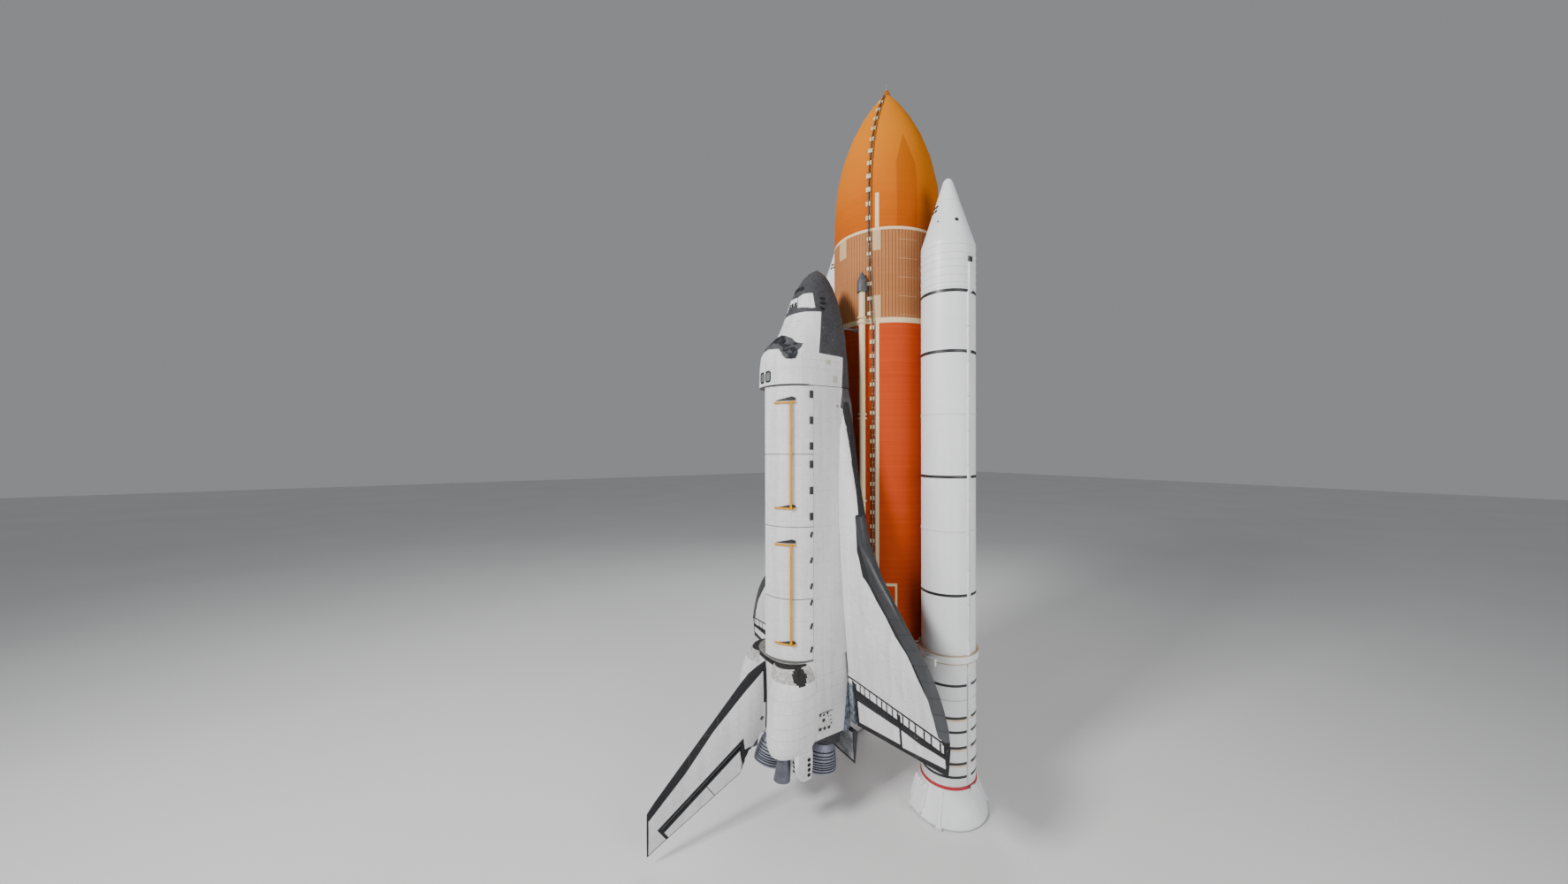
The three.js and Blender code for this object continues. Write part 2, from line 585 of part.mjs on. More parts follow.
// Fin and split rudder
// columns: height, leading edge station, trailing edge station, thickness
const finRows = [
  [fin.root, 1321, 1547, 17],
  [530, 1332, 1547, 16],
  [552, 1343, 1547, 15.4],
  [577, 1365, 1599, 14.8],
  [800, 1588, 1701, 7],
  [fin.tip, 1607, 1709, 6],
];
const rudder = {
  foot: [1522, fin.rudderFoot],
  head: [1656, fin.rudderHead],
  footRadius: 6.2,
  headRadius: 3.2,
  gap: 0.6,
  footGap: 1.6,
  footSlope: -14 / 84,
};
// The fin's lower rear corner is cut away over the upper engine's swing.
const engineClearance = [[1490, 495], [1500, 502], [1512, 518], [1566, 564], [1640, 562], [1640, 495]];

function finRing(front, rear, thickness) {
  const chord = rear - front;
  // share of the chord, share of the half thickness
  const shape = [[0.012, 0.2], [0.1, 0.6], [0.35, 1], [0.66, 0.92], [0.9, 0.35]];
  const side = (sign) => shape.map(([c, t]) => [front + c * chord, (sign * t * thickness) / 2]);
  return [[front, 0], ...side(-1), [rear, -0.7], [rear, 0.7], ...side(1).reverse()];
}
const finLoft = loft("z", finRows.map(([at, ...shape]) => ({ at, ring: finRing(...shape) })));

const hingeRun = [rudder.head[0] - rudder.foot[0], rudder.head[1] - rudder.foot[1]];
const hingeLength = Math.hypot(...hingeRun);
const hingeUp = hingeRun.map((v) => v / hingeLength);
const acrossHinge = [hingeUp[1], -hingeUp[0]];
// A point on the rudder's plane: so far up the hinge line and so far behind it.
const rudderPoint = (up, behind) => [
  rudder.foot[0] + hingeUp[0] * up + acrossHinge[0] * behind,
  rudder.foot[1] + hingeUp[1] * up + acrossHinge[1] * behind,
];

const rudderRadius = (up) => rudder.footRadius + ((rudder.headRadius - rudder.footRadius) * up) / hingeLength;

// The space over the rudder's foot and behind a line that follows the hinge. The line lies a share of
// the hinge's radius behind it.
function rudderRegion(share, gap, footGap) {
  const top = hingeLength - gap;
  const front = [-30, top].map((up) => rudderPoint(up, rudderRadius(up) * share));
  const region = prism("y", -20, 20, [front[0], [1700, 480], rudderPoint(top, 90), front[1]]);
  const footLine = (x) => rudder.foot[1] + (x - rudder.foot[0]) * rudder.footSlope + footGap;
  const aboveFoot = [[1400, footLine(1400)], [1800, footLine(1800)], [1800, 900], [1400, 900]];
  return region.intersect(prism("y", -30, 30, aboveFoot));
}
function hingeRod(grow, shorter) {
  const ends = [shorter, hingeLength - shorter];
  const [low, high] = ends.map((up) => [rudderPoint(up, 0), rudderRadius(up) + grow]);
  return rod([low[0][0], 0, low[0][1]], [high[0][0], 0, high[0][1]], low[1], 16, high[1]);
}
const rightHalf = block([1300, 1800], [0.2, 20], [400, 900]);
const rudderPanel = finLoft.intersect(rudderRegion(1.25, rudder.gap, rudder.footGap)).intersect(rightHalf);
const finCuts = [rudderRegion(-0.25, -0.2, -0.2), hingeRod(0.5, -0.2), prism("y", -30, 30, engineClearance)];
const finSolid = finCuts.reduce((left, cutter) => left.subtract(cutter), finLoft);
put(orbiter, "vertical_fin", finSolid, materials.whiteTile);
put(orbiter, "rudder_spindle", hingeRod(0, 1), materials.blackTile);
putPair(orbiter, "rudder_panel", rudderPanel, materials.whiteTile);

// External tank: nose cone, oxygen tank, ribbed intertank and hydrogen tank
const ogive = { radius: 612, start: 371, tangent: 770, end: 852.8 };
const ogiveInset = ogive.radius - tank.radius;
const ogiveRadius = (x) => Math.sqrt(ogive.radius ** 2 - (ogive.tangent - x) ** 2) - ogiveInset;
const tankRadius = (x) => (x < ogive.tangent ? ogiveRadius(x) : tank.radius);
const hydrogen = { front: 1123.2, barrelEnd: 2058, domeDepth: 110 };

function oxygenTank() {
  const stations = [ogive.start, 405, 455, 515, 590, 675, ogive.tangent, ogive.end];
  return turned([[ogive.start, 0], ...stations.map((x) => [x, tankRadius(x)]), [ogive.end, 0]], 48);
}

function hydrogenTank() {
  const dome = [0.3, 0.55, 0.75, 0.9, 0.98].map((share) => [
    hydrogen.barrelEnd + hydrogen.domeDepth * share,
    tank.radius * Math.sqrt(1 - share ** 2),
  ]);
  const end = hydrogen.barrelEnd + hydrogen.domeDepth;
  const barrel = [[hydrogen.front, 0], [hydrogen.front, tank.radius], [hydrogen.barrelEnd, tank.radius]];
  return turned([...barrel, ...dome, [end, 0]], 48);
}
const tankAxis = (solid) => solid.translate([0, 0, tank.z]);
const coneBase = ogive.start - fit;
const noseCone = [[322.5, 0], [323.5, 1], [338, 1.6], [342, 5], [coneBase, 16.5], [coneBase, 0]];
put(tankGroup, "tank_nose_cone", tankAxis(turned(noseCone, 24)), materials.greyMetal);
put(tankGroup, "oxygen_tank", tankAxis(oxygenTank()), materials.amberFoam);
const intertank = { front: ogive.end + fit, rear: hydrogen.front - fit };
const { front: itFront, rear: itRear } = intertank;
const intertankProfile = [
  [itFront, 0], [itFront, tank.radius], [itFront + 6, tank.intertankRadius],
  [itRear - 6, tank.intertankRadius], [itRear, tank.radius], [itRear, 0],
];
put(tankGroup, "intertank", tankAxis(turned(intertankProfile, 48)), materials.tanFoam);
put(tankGroup, "hydrogen_tank", tankAxis(hydrogenTank()), materials.orangeFoam);

// A point on the tank's skin at a station, an angle from its back towards starboard, and a height off it.
function onTank(x, degrees, height) {
  const angle = THREE.MathUtils.degToRad(degrees);
  const r = (x > 852 && x < 1124 ? tank.intertankRadius : tankRadius(x)) + height;
  return [x, r * Math.sin(angle), tank.z + r * Math.cos(angle)];
}

// Cable tray and pressure line: one strip down the whole length of the tank
const tray = { halfWidth: 5, low: 0.4, high: 6, from: 374, to: 2040 };
// columns: station, angle from the tank's back towards starboard
const trayAngles = [[tray.from, 30], [850, 30], [1070, 32], [1130, 34], [tray.to, 34]];
function cableTray() {
  const path = [tray.from, 405, 455, 515, 590, 675, ogive.tangent, 850, 854, 1122, 1126, tray.to];
  const { halfWidth: half, low, high } = tray;
  const strip = loft("x", path.map((x) => {
    const r = onTank(x, 0, 0)[2] - tank.z;
    const angle = THREE.MathUtils.degToRad(interpolate(trayAngles, x));
    const [c, s] = [Math.cos(angle), Math.sin(angle)];
    const flat = [[-half, r + low], [half, r + low], [half, r + high], [-half, r + high]];
    return { at: x, ring: flat.map(([y, z]) => [y * c + z * s, z * c - y * s]) };
  }));
  return tankAxis(strip);
}
put(tankGroup, "cable_tray", cableTray(), materials.creamFoam);

// Oxygen feed line, from its fairing on the intertank down to the orbiter's aft corner
const feed = { angle: 25, radius: 9.5, height: 12.5, from: 1040, tip: 992, to: 2076, elbow: [2092, 74, 600] };
const umbilical = { from: 2070, to: 2114, inner: 56, outer: 92, low: 594 };
function feedLine() {
  const [top, low] = [onTank(feed.from, feed.angle, feed.height), onTank(2000, feed.angle, feed.height)];
  const start = [feed.from, top[1], top[2]];
  const fairing = rod([feed.tip, top[1], top[2] - 2], start, 1.5, 12, feed.radius + 0.5);
  const pipe = rod(start, [feed.to, low[1], low[2]], feed.radius, 12);
  const turn = rod([feed.to - 4, low[1], low[2]], feed.elbow, feed.radius - 0.5, 12);
  return joined(fairing, pipe, turn).subtract(block([2000, 2130], [20, 120], [umbilical.low - fit, 640]));
}
put(tankGroup, "oxygen_feed_line", feedLine(), materials.creamFoam);

// Struts that carry the orbiter: the forward bipod, and the aft beam with its legs and umbilicals
const bellyZ = body.bottom + orbiterOffset.z; // height of the orbiter's belly in tank stations
const [ribbedSkin, plainSkin] = [tank.intertankRadius + 0.3, tank.radius + 0.3];
const skinEnd = hydrogen.barrelEnd + 12;
const skinProfile = [
  [1000, 0], [1000, ribbedSkin], [1123, ribbedSkin], [1123.2, plainSkin], [skinEnd, plainSkin], [skinEnd, 0],
];
const skinSpace = tankAxis(turned(skinProfile, 48));
const bipod = { x: 1130, footX: 1141, footY: 46, legRadius: 2.6, padRadius: 8 };
function forwardBipod() {
  const noseBelly = 274.5 + orbiterOffset.z; // the belly is a little higher this far forward
  const top = [bipod.x, 0, noseBelly - 7];
  const feet = [-1, 1].map((side) => {
    const angle = (side * Math.asin(bipod.footY / tank.radius) * 180) / Math.PI;
    return [onTank(bipod.footX, angle, 0.4), onTank(bipod.footX, angle, 5)];
  });
  const legs = feet.map(([, high]) => rod(high, top, bipod.legRadius, 10));
  const pads = feet.map(([low, high]) => rod(low, high, bipod.padRadius, 12));
  const yoke = rod([bipod.x, 0, noseBelly - 11], [bipod.x, 0, noseBelly - 0.6], 7, 12);
  return joined(yoke, ...legs, ...pads).subtract(skinSpace);
}
put(tankGroup, "forward_bipod", forwardBipod(), materials.greyMetal);

const aftMount = { x: 2058, beamZ: 584, halfSpan: 96.5, legRadius: 5, ballRadius: 8 };
function aftBeam() {
  const { x, beamZ, halfSpan, legRadius } = aftMount;
  const bar = block([x - 7, x + 7], [-halfSpan - 8, halfSpan + 8], [beamZ - 7, beamZ + 7]);
  const parts = [-1, 1].flatMap((side) => {
    const y = side * halfSpan;
    const end = [x, y, beamZ];
    return [
      rod(end, [x, y, bellyZ - 0.6], aftMount.ballRadius, 12),
      rod(onTank(x - 6, side * 41, -3), end, legRadius, 8),
      rod(onTank(x - 150, side * 44, -3), end, legRadius, 8),
      rod(onTank(x - 4, side * 8, -3), [x, side * 38, beamZ], legRadius - 1, 8),
    ];
  });
  return joined(bar, ...parts).subtract(skinSpace);
}
put(tankGroup, "aft_beam", aftBeam(), materials.creamFoam);

// The umbilical plates stand between the beam and the belly, one for each propellant.
function umbilicalBlock(side) {
  const ys = [side * umbilical.inner, side * umbilical.outer].sort((a, b) => a - b);
  return block([umbilical.from, umbilical.to], ys, [umbilical.low, bellyZ - 0.6]);
}
put(tankGroup, "oxygen_umbilical", umbilicalBlock(1), materials.creamFoam);
put(tankGroup, "hydrogen_umbilical", umbilicalBlock(-1), materials.creamFoam);

// Boosters, drawn about their own axis: nose, forward skirt, motor case, attach ring, aft skirt and nozzle
const joints = { cap: 273, frustum: 395, forwardSkirt: 526, case: 1836 };
const attachRing = { x: 1490, length: 22, radius: 80 };
const nosePieces = {
  profile: [
    [200, 0], [201.5, 5], [206, 10], [214, 14.5], [joints.cap, 33.4], [joints.frustum - fit, booster.radius],
    [joints.frustum - fit, 0],
  ],
};
const sides = 32;

function motorCase() {
  const [start, end] = [joints.forwardSkirt + fit, joints.case - fit];
  return turned([[start, 0], [start, booster.radius], [end, booster.radius], [end, 0]], sides);
}

// The wiring tunnel runs down the outboard side of the case, from the forward skirt to the aft one.
const tunnelAngle = 7;
function tunnel([from, to], grow) {
  const { radius } = booster;
  const strip = block([from, to], [radius - 3, radius + 4.5 + grow], [-6 - grow, 6 + grow]);
  return strip.rotate([tunnelAngle, 0, 0]);
}
const wiringTunnel = () => tunnel([joints.forwardSkirt + 4, joints.case - 4], 0);

function ringAndStruts() {
  const { x, length, radius } = attachRing;
  const inner = booster.radius + 0.05;
  const end = x + length;
  const ring = turned([[x, inner], [x, radius], [end, radius], [end, inner], [x, inner]], sides);
  const reach = boosterOffset.y;
  // columns: height on the ring, height on the tank
  const struts = [[45, 62], [-45, -62], [-20, 40]].map(([from, to]) => {
    const tankSide = Math.sqrt(tank.radius ** 2 - to ** 2) - 2;
    const ringSide = Math.sqrt((radius - 3) ** 2 - from ** 2);
    return rod([x + 12, -ringSide, from], [x + 12, tankSide - reach, to], 3.6, 8);
  });
  const box = block([x, end], [-radius - 7, -radius + 2], [-26, 26]);
  const skinRadius = tank.radius + 0.3;
  const tankSkin = turned([[x - 40, 0], [x - 40, skinRadius], [x + 60, skinRadius], [x + 60, 0]], 48);
  const clear = joined(motorSpace(), tankSkin.translate([0, -reach, 0]));
  return joined(ring, box, ...struts).subtract(clear);
}
// The case and its tunnel, a little larger, for what is fitted round them
function motorSpace() {
  const [start, end, r] = [joints.forwardSkirt, joints.case, booster.radius + fit];
  return joined(turned([[start, 0], [start, r], [end, r], [end, 0]], sides), tunnel([start, end], fit));
}

const skirt = { wall: 4, postAngles: [28, 152, 208, 332], postReach: 8, packAngle: -10 };
function aftSkirt() {
  const top = joints.case + fit;
  const { wall, postAngles, postReach, packAngle } = skirt;
  const { foot, skirtRadius: r } = booster;
  const outside = [[top, 0], [top, 75.5], [top + 5, 75.5], [1895, 95], [1922, r], [foot - 3, r]];
  const inside = [[foot - 3, r - wall], [1890, 89], [1846, 70], [1846, 0]];
  const hollow = turned([[foot + 5, 0], [foot + 5, r - wall], ...inside.slice(1)], sides);
  const posts = postAngles.map((degrees) => {
    const wedge = prism("y", -4, 4, [[1862, r - 28], [1862, 84.5], [foot, r + postReach], [foot, r - 12]]);
    const shoe = block([foot - 8, foot], [-8, 8], [r - 12, r + postReach]);
    return joined(wedge, shoe).rotate([-degrees, 0, 0]).subtract(hollow);
  });
  const pack = prism("y", -17, 17, [[1853, 78], [1853, 93], [1900, 113], [1913, 113], [1913, 85]]);
  const fittedPack = pack.rotate([-packAngle, 0, 0]).subtract(hollow);
  return joined(turned([...outside, ...inside], sides), fittedPack, ...posts);
}

// The nozzle ends above the floor: its last cone is not fitted while the vehicle stands.
const nozzle = { throat: 1850, exit: 1922, neck: 38, lip: 60 };
function boosterNozzle() {
  const { throat, exit, neck, lip } = nozzle;
  const outside = [[throat, 0], [throat, neck], [1875, 43], [exit, lip]];
  const inside = [[exit, lip - 4], [1880, 38], [1864, 28], [1862, 0]];
  return turned([...outside, ...inside], 24);
}

// The forward post carries the thrust into the tank's intertank.
function forwardSkirt() {
  const [start, end, r] = [joints.frustum, joints.forwardSkirt, booster.radius];
  const post = rod([442.8, 4 - r, 0], [442.8, tank.intertankRadius + 0.3 - boosterOffset.y, 0], 9, 12);
  return joined(turned([[start, 0], [start, r], [end, r], [end, 0]], sides), post);
}

for (const [side, group] of Object.entries(boosters)) {
  const handed = side === "starboard" ? (solid) => solid : mirrored;
  put(group, `booster_nose_${side}`, handed(turned(nosePieces.profile, sides)), materials.whitePaint);
  put(group, `booster_forward_skirt_${side}`, handed(forwardSkirt()), materials.whitePaint);
  put(group, `booster_case_${side}`, handed(joined(motorCase(), wiringTunnel())), materials.whitePaint);
  put(group, `booster_attach_ring_${side}`, handed(ringAndStruts()), materials.whitePaint);
  put(group, `booster_aft_skirt_${side}`, handed(aftSkirt()), materials.whitePaint);
  put(group, `booster_nozzle_${side}`, handed(boosterNozzle()), materials.greyMetal);
}

// The origin is on the floor, at the centre of the whole stack's footprint.
const backTip = fin.tip + orbiterOffset.z;
const tankFar = tank.z - tank.intertankRadius;
tankGroup.position.set(-floorStation, 0, -(backTip + tankFar) / 2);

export default stack;
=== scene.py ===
import math

import bpy
from mathutils import Matrix, Vector


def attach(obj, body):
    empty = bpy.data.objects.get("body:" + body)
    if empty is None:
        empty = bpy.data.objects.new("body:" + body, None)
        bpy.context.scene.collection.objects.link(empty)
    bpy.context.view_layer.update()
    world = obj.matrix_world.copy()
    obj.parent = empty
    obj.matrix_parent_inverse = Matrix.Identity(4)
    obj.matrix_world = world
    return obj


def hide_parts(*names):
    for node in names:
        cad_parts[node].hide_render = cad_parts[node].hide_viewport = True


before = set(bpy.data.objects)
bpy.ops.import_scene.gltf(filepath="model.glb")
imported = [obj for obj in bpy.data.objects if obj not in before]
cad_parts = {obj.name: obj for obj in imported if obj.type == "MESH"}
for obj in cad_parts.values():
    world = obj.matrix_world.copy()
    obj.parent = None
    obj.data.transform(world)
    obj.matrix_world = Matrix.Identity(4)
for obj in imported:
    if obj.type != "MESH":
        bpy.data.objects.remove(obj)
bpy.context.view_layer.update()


# Camera: it stands where the photograph was taken, level with the orbiter's middle, and looks at its
# back and starboard side. The view is very wide, as in the photograph, with the whole stack in it.
camera = bpy.data.cameras.new("camera")
camera.sensor_width = 36
camera.lens = 10.930
camera.shift_x = -0.01863
camera.shift_y = 0.004684
camera.clip_end = 500
viewer = bpy.data.objects.new("camera", camera)
bpy.context.scene.collection.objects.link(viewer)
azimuth, elevation, roll = math.radians(56.7474), math.radians(0.1794), math.radians(-0.082)
ahead = Vector((-math.sin(azimuth) * math.cos(elevation), math.cos(azimuth) * math.cos(elevation),
                -math.sin(elevation)))
level = ahead.cross(Vector((0, 0, 1))).normalized()
upward = level.cross(ahead)
right = math.cos(roll) * level + math.sin(roll) * upward
up = math.cos(roll) * upward - math.sin(roll) * level
turn = Matrix((right, up, -ahead)).transposed().to_4x4()
viewer.matrix_world = Matrix.Translation((14.597, -9.450, 12.532)) @ turn
bpy.context.scene.camera = viewer


# Floor and light: a plain pale floor, a pale sky all round, and two broad soft lights on the side that
# is seen, with a weaker one behind. The floor's finish, like those of all the pieces, works out its
# colour from the place on the surface, and a mask in it is 1 where a marking is and 0 elsewhere.
class Value:
    """A node's output that is added, multiplied and compared as a number is."""

    def __init__(self, finish, socket):
        self.finish = finish
        self.socket = socket

    def math(self, operation, *others):
        return self.finish.node("ShaderNodeMath", {"operation": operation}, self, *others)

    def __add__(self, other):
        return self.math("ADD", other)

    def __mul__(self, other):
        return self.math("MULTIPLY", other)

    __radd__ = __add__
    __rmul__ = __mul__
    __and__ = __mul__

    def __sub__(self, other):
        return self.math("SUBTRACT", other)

    def __rsub__(self, other):
        return self.finish.node("ShaderNodeMath", {"operation": "SUBTRACT"}, other, self)

    def __truediv__(self, other):
        return self.math("DIVIDE", other)

    def __lt__(self, other):
        return self.math("LESS_THAN", other)

    def __gt__(self, other):
        return self.math("GREATER_THAN", other)

    def __mod__(self, other):
        return self.math("FLOORED_MODULO", other)

    def __or__(self, other):
        return self.math("MAXIMUM", other)

    def __invert__(self):
        return 1 - self

    def __abs__(self):
        return self.math("ABSOLUTE")

    def between(self, low, high):
        return (self > low) & (self < high)

    def near(self, centre, width):
        """1 within half a width of a line."""
        return abs(self - centre) < width / 2

    def near_any(self, centres, width):
        """1 within half a width of any of several lines."""
        mask, *rest = [self.near(centre, width) for centre in centres]
        for line in rest:
            mask = mask | line
        return mask

    def lines(self, spacing, width, shift=0.0):
        """1 on lines that repeat at a spacing."""
        return abs((self - shift + spacing / 2) % spacing - spacing / 2) < width / 2


# The vehicle's drawings give places as stations, in inches at full size: along the body, out to
# starboard, and up from the belly. The model is half size, so an inch at full size is 12.7 mm here.
# The orbiter and the boosters each have a zero of their own, counted here from the tank's.
inch = 0.0127
floor_station, middle_height = 2473.6, 692.35
orbiter_start, orbiter_base = 741, 336.5


class Finish:
    """One material. Its x, y and z are the place on the surface in metres in the frame, and its side,
    station and height are the same place in inches in the orbiter's drawings."""

    def __init__(self, name, roughness=0.6, metallic=0.0, coat=0.0, gloss=0.5):
        self.material = bpy.data.materials.new(name)
        self.material.use_nodes = True
        self.tree = self.material.node_tree
        self.shader = self.tree.nodes["Principled BSDF"]
        self.shader.inputs["Roughness"].default_value = roughness
        self.shader.inputs["Metallic"].default_value = metallic
        self.shader.inputs["Coat Weight"].default_value = coat
        self.shader.inputs["Specular IOR Level"].default_value = gloss
        coordinates = self.tree.nodes.new("ShaderNodeTexCoord")
        self.place = Value(self, coordinates.outputs["Object"])
        self.x, self.y, self.z = self.parts(self.place)
        self.side = self.x / inch
        self.station = floor_station - orbiter_start - self.z / inch
        self.height = middle_height - orbiter_base - self.y / inch
        self.facing = Value(self, coordinates.outputs["Normal"])

    def node(self, kind, settings, *values, output=0, **named):
        """Any other node, from its type, its settings and what its sockets are fed."""
        node = self.tree.nodes.new(kind)
        for key, value in settings.items():
            setattr(node, key, value)
        for key, value in [*enumerate(values), *named.items()]:
            self.feed(node.inputs[key], value)
        return Value(self, node.outputs[output])

    def feed(self, socket, value):
        """Links a value to a socket, or sets the socket to a number, a colour or a vector."""
        if isinstance(value, Value):
            self.tree.links.new(value.socket, socket)
        elif isinstance(value, tuple) and len(value) == 3 and socket.type == "RGBA":
            socket.default_value = (*value, 1)
        else:
            socket.default_value = value

    def parts(self, vector):
        """The three numbers of a vector."""
        node = self.tree.nodes.new("ShaderNodeSeparateXYZ")
        self.feed(node.inputs[0], vector)
        return [Value(self, out) for out in node.outputs]

    def mix(self, mask, first, second):
        """The first colour where the mask is 0 and the second where it is 1."""
        node = self.tree.nodes.new("ShaderNodeMix")
        node.data_type = "RGBA"
        for index, value in ((0, mask), (6, first), (7, second)):
            self.feed(node.inputs[index], value)
        return Value(self, node.outputs[2])

    def stretched(self, x, y, z):
        """The place with its three directions scaled, for grain that runs one way."""
        return self.node("ShaderNodeVectorMath", {"operation": "MULTIPLY"}, self.place, (x, y, z))

    def noise(self, scale, detail=3.0, vector=None, low=0.3, high=0.7):
        """Smooth clouds from 0 to 1."""
        cloud = self.node("ShaderNodeTexNoise", {}, Vector=vector or self.place, Scale=scale, Detail=detail)
        return self.node("ShaderNodeMapRange", {"clamp": True}, cloud, low, high)

    def cells(self, x, y, z):
        """A shade of its own for every tile of a size in inches."""
        scaled = self.stretched(1 / (x * inch), 1 / (y * inch), 1 / (z * inch))
        corner = self.node("ShaderNodeVectorMath", {"operation": "FLOOR"}, scaled)
        return self.node("ShaderNodeTexWhiteNoise", {"noise_dimensions": "3D"}, corner)

    def table(self, value, rows):
        """Straight lines between the rows of a table of value and result."""
        low, high = rows[0][0], rows[-1][0]
        least, most = min(row[1] for row in rows), max(row[1] for row in rows)
        ramp = self.tree.nodes.new("ShaderNodeValToRGB")
        ramp.color_ramp.interpolation = "LINEAR"
        stops = ramp.color_ramp.elements
        while len(stops) < len(rows):
            stops.new(0.5)
        for stop, (key, result) in zip(stops, rows):
            stop.position = (key - low) / (high - low)
            share = (result - least) / (most - least)
            stop.color = (share, share, share, 1)
        self.feed(ramp.inputs[0], (value - low) / (high - low))
        return Value(self, ramp.outputs[0]) * (most - least) + least

    def paint(self, colour, height=None, distance=0.004, roughness=None):
        """Feeds the shader a colour, and a relief where one is given."""
        self.feed(self.shader.inputs["Base Color"], colour)
        if roughness is not None:
            self.feed(self.shader.inputs["Roughness"], roughness)
        if height is not None:
            bump = self.node("ShaderNodeBump", {}, Strength=1.0, Distance=distance, Height=height)
            self.feed(self.shader.inputs["Normal"], bump)
        return self


def clouded(name, deep, pale, clouds, grain=None, depth=0.001, **surface):
    """A plain finish: clouds between two colours, and a relief of fine grain where one is given."""
    f = Finish(name, **surface)
    return f.paint(f.mix(f.noise(*clouds), deep, pale), f.noise(*grain) if grain else None, depth)


bpy.ops.object.select_all(action="DESELECT")
bpy.ops.mesh.primitive_plane_add(size=400)
floor = bpy.context.object
floor.name = "floor"
ground = clouded("pale_floor", (0.70, 0.70, 0.69), (0.74, 0.74, 0.73), (0.08, 2), roughness=0.55)
floor.data.materials.append(ground.material)

world = bpy.data.worlds.new("soft_sky")
bpy.context.scene.world = world
world.use_nodes = True
world.node_tree.nodes["Background"].inputs["Color"].default_value = (0.86, 0.88, 0.92, 1)
world.node_tree.nodes["Background"].inputs["Strength"].default_value = 0.30

stack_middle = 13
for name, place, size, power in (
    ("key_light", (4, -34, 34), 9, 21000),
    ("fill_light", (30, 2, 16), 16, 4800),
    ("back_light", (-26, 20, 30), 14, 4000),
):
    lamp = bpy.data.lights.new(name, "AREA")
    lamp.size, lamp.energy = size, power
    light = bpy.data.objects.new(name, lamp)
    bpy.context.scene.collection.objects.link(light)
    aim = Vector((0, 0, stack_middle)) - Vector(place)
    light.matrix_world = Matrix.Translation(place) @ aim.to_track_quat("-Z", "Y").to_matrix().to_4x4()


# External tank: the pointed oxygen tank, the ribbed intertank and the long hydrogen tank, all covered in
# sprayed foam that has darkened from yellow to orange. The foam shows fine rings from the spray passes.
tank_axis, barrel_radius, intertank_swell = 400, 166.5, 1.3
intertank_top, intertank_foot = 852, 1124
ogive_end, ogive_radius = 770, 612


def level_of(station):
    """The height in the frame, in metres, of one of the tank's stations."""
    return (floor_station - station) * inch


def in_stack(station, side, height):
    """A place in the tank's drawings, in metres in the frame."""
    return Vector((side * inch, (middle_height - height) * inch, level_of(station)))


def settle(piece, body, finish, slot, *stands_for):
    """Gives a finished piece its material and ties it to the frame."""
    piece.data.materials.clear()
    piece.data.materials.append(finish.material)
    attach(piece, body)
    if stands_for:
        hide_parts(*stands_for)
    return piece


def edit(piece):
    """Opens a piece for editing with all of it selected, and nothing else."""
    bpy.ops.object.mode_set(mode="OBJECT")
    bpy.ops.object.select_all(action="DESELECT")
    bpy.context.view_layer.objects.active = piece
    piece.select_set(True)
    bpy.ops.object.mode_set(mode="EDIT")
    bpy.ops.mesh.select_mode(type="FACE")
    bpy.ops.mesh.select_all(action="SELECT")


def done(piece, name=None, angle=30, outwards=True):
    """Closes a piece: its faces point outwards, its shading is smooth and its place is in its mesh."""
    if bpy.context.mode != "EDIT_MESH":
        edit(piece)
    if outwards:
        bpy.ops.mesh.select_all(action="SELECT")
        bpy.ops.mesh.normals_make_consistent(inside=False)
    bpy.ops.object.mode_set(mode="OBJECT")
    bpy.ops.object.transform_apply(location=True, rotation=True, scale=True)
    bpy.ops.object.shade_smooth_by_angle(angle=math.radians(angle))
    if name:
        piece.name = piece.data.name = name
    return piece


def from_frame(node, name, angle=30):
    """A copy of a solid of the frame, with its loose triangles merged and flat ones joined."""
    piece = bpy.data.objects.new(name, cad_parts[node].data.copy())
    bpy.context.scene.collection.objects.link(piece)
    edit(piece)
    bpy.ops.mesh.customdata_custom_splitnormals_clear()
    bpy.ops.mesh.remove_doubles(threshold=0.0002)
    bpy.ops.mesh.dissolve_limited(angle_limit=math.radians(0.3))
    return done(piece, name, angle, outwards=False)


def choose(piece, test):
    """Selects the faces whose centre and normal pass a test."""
    bpy.ops.mesh.select_all(action="DESELECT")
    bpy.ops.object.mode_set(mode="OBJECT")
    for face in piece.data.polygons:
        face.select = bool(test(face.center, face.normal))
    bpy.ops.object.mode_set(mode="EDIT")


def joined(name, pieces):
    """Several meshes as one piece."""
    bpy.ops.object.select_all(action="DESELECT")
    for piece in pieces:
        piece.select_set(True)
    bpy.context.view_layer.objects.active = pieces[0]
    if len(pieces) > 1:
        bpy.ops.object.join()
    pieces[0].name = pieces[0].data.name = name
    return pieces[0]


def covered(node, name, finish, slot, angle=30, body="vehicle"):
    """Puts a finished copy of a solid of the frame in that solid's place."""
    return settle(from_frame(node, name, angle), body, finish, slot, node)


def turned(name, centre, rows, sides=96, angle=30):
    """A round body drawn ring by ring up its own upright axis. Rows are height and radius, in metres."""
    (height, radius), *rest = rows
    bpy.ops.object.select_all(action="DESELECT")
    bpy.ops.mesh.primitive_circle_add(
        vertices=sides, radius=radius, fill_type="NGON", location=(*centre, height))
    piece = bpy.context.object
    edit(piece)
    for next_height, next_radius in rest:
        bpy.ops.mesh.extrude_region_move(TRANSFORM_OT_translate={"value": (0, 0, next_height - height)})
        share = next_radius / radius
        bpy.ops.transform.resize(value=(share, share, 1), center_override=(*centre, next_height))
        height, radius = next_height, next_radius
    return done(piece, name, angle)


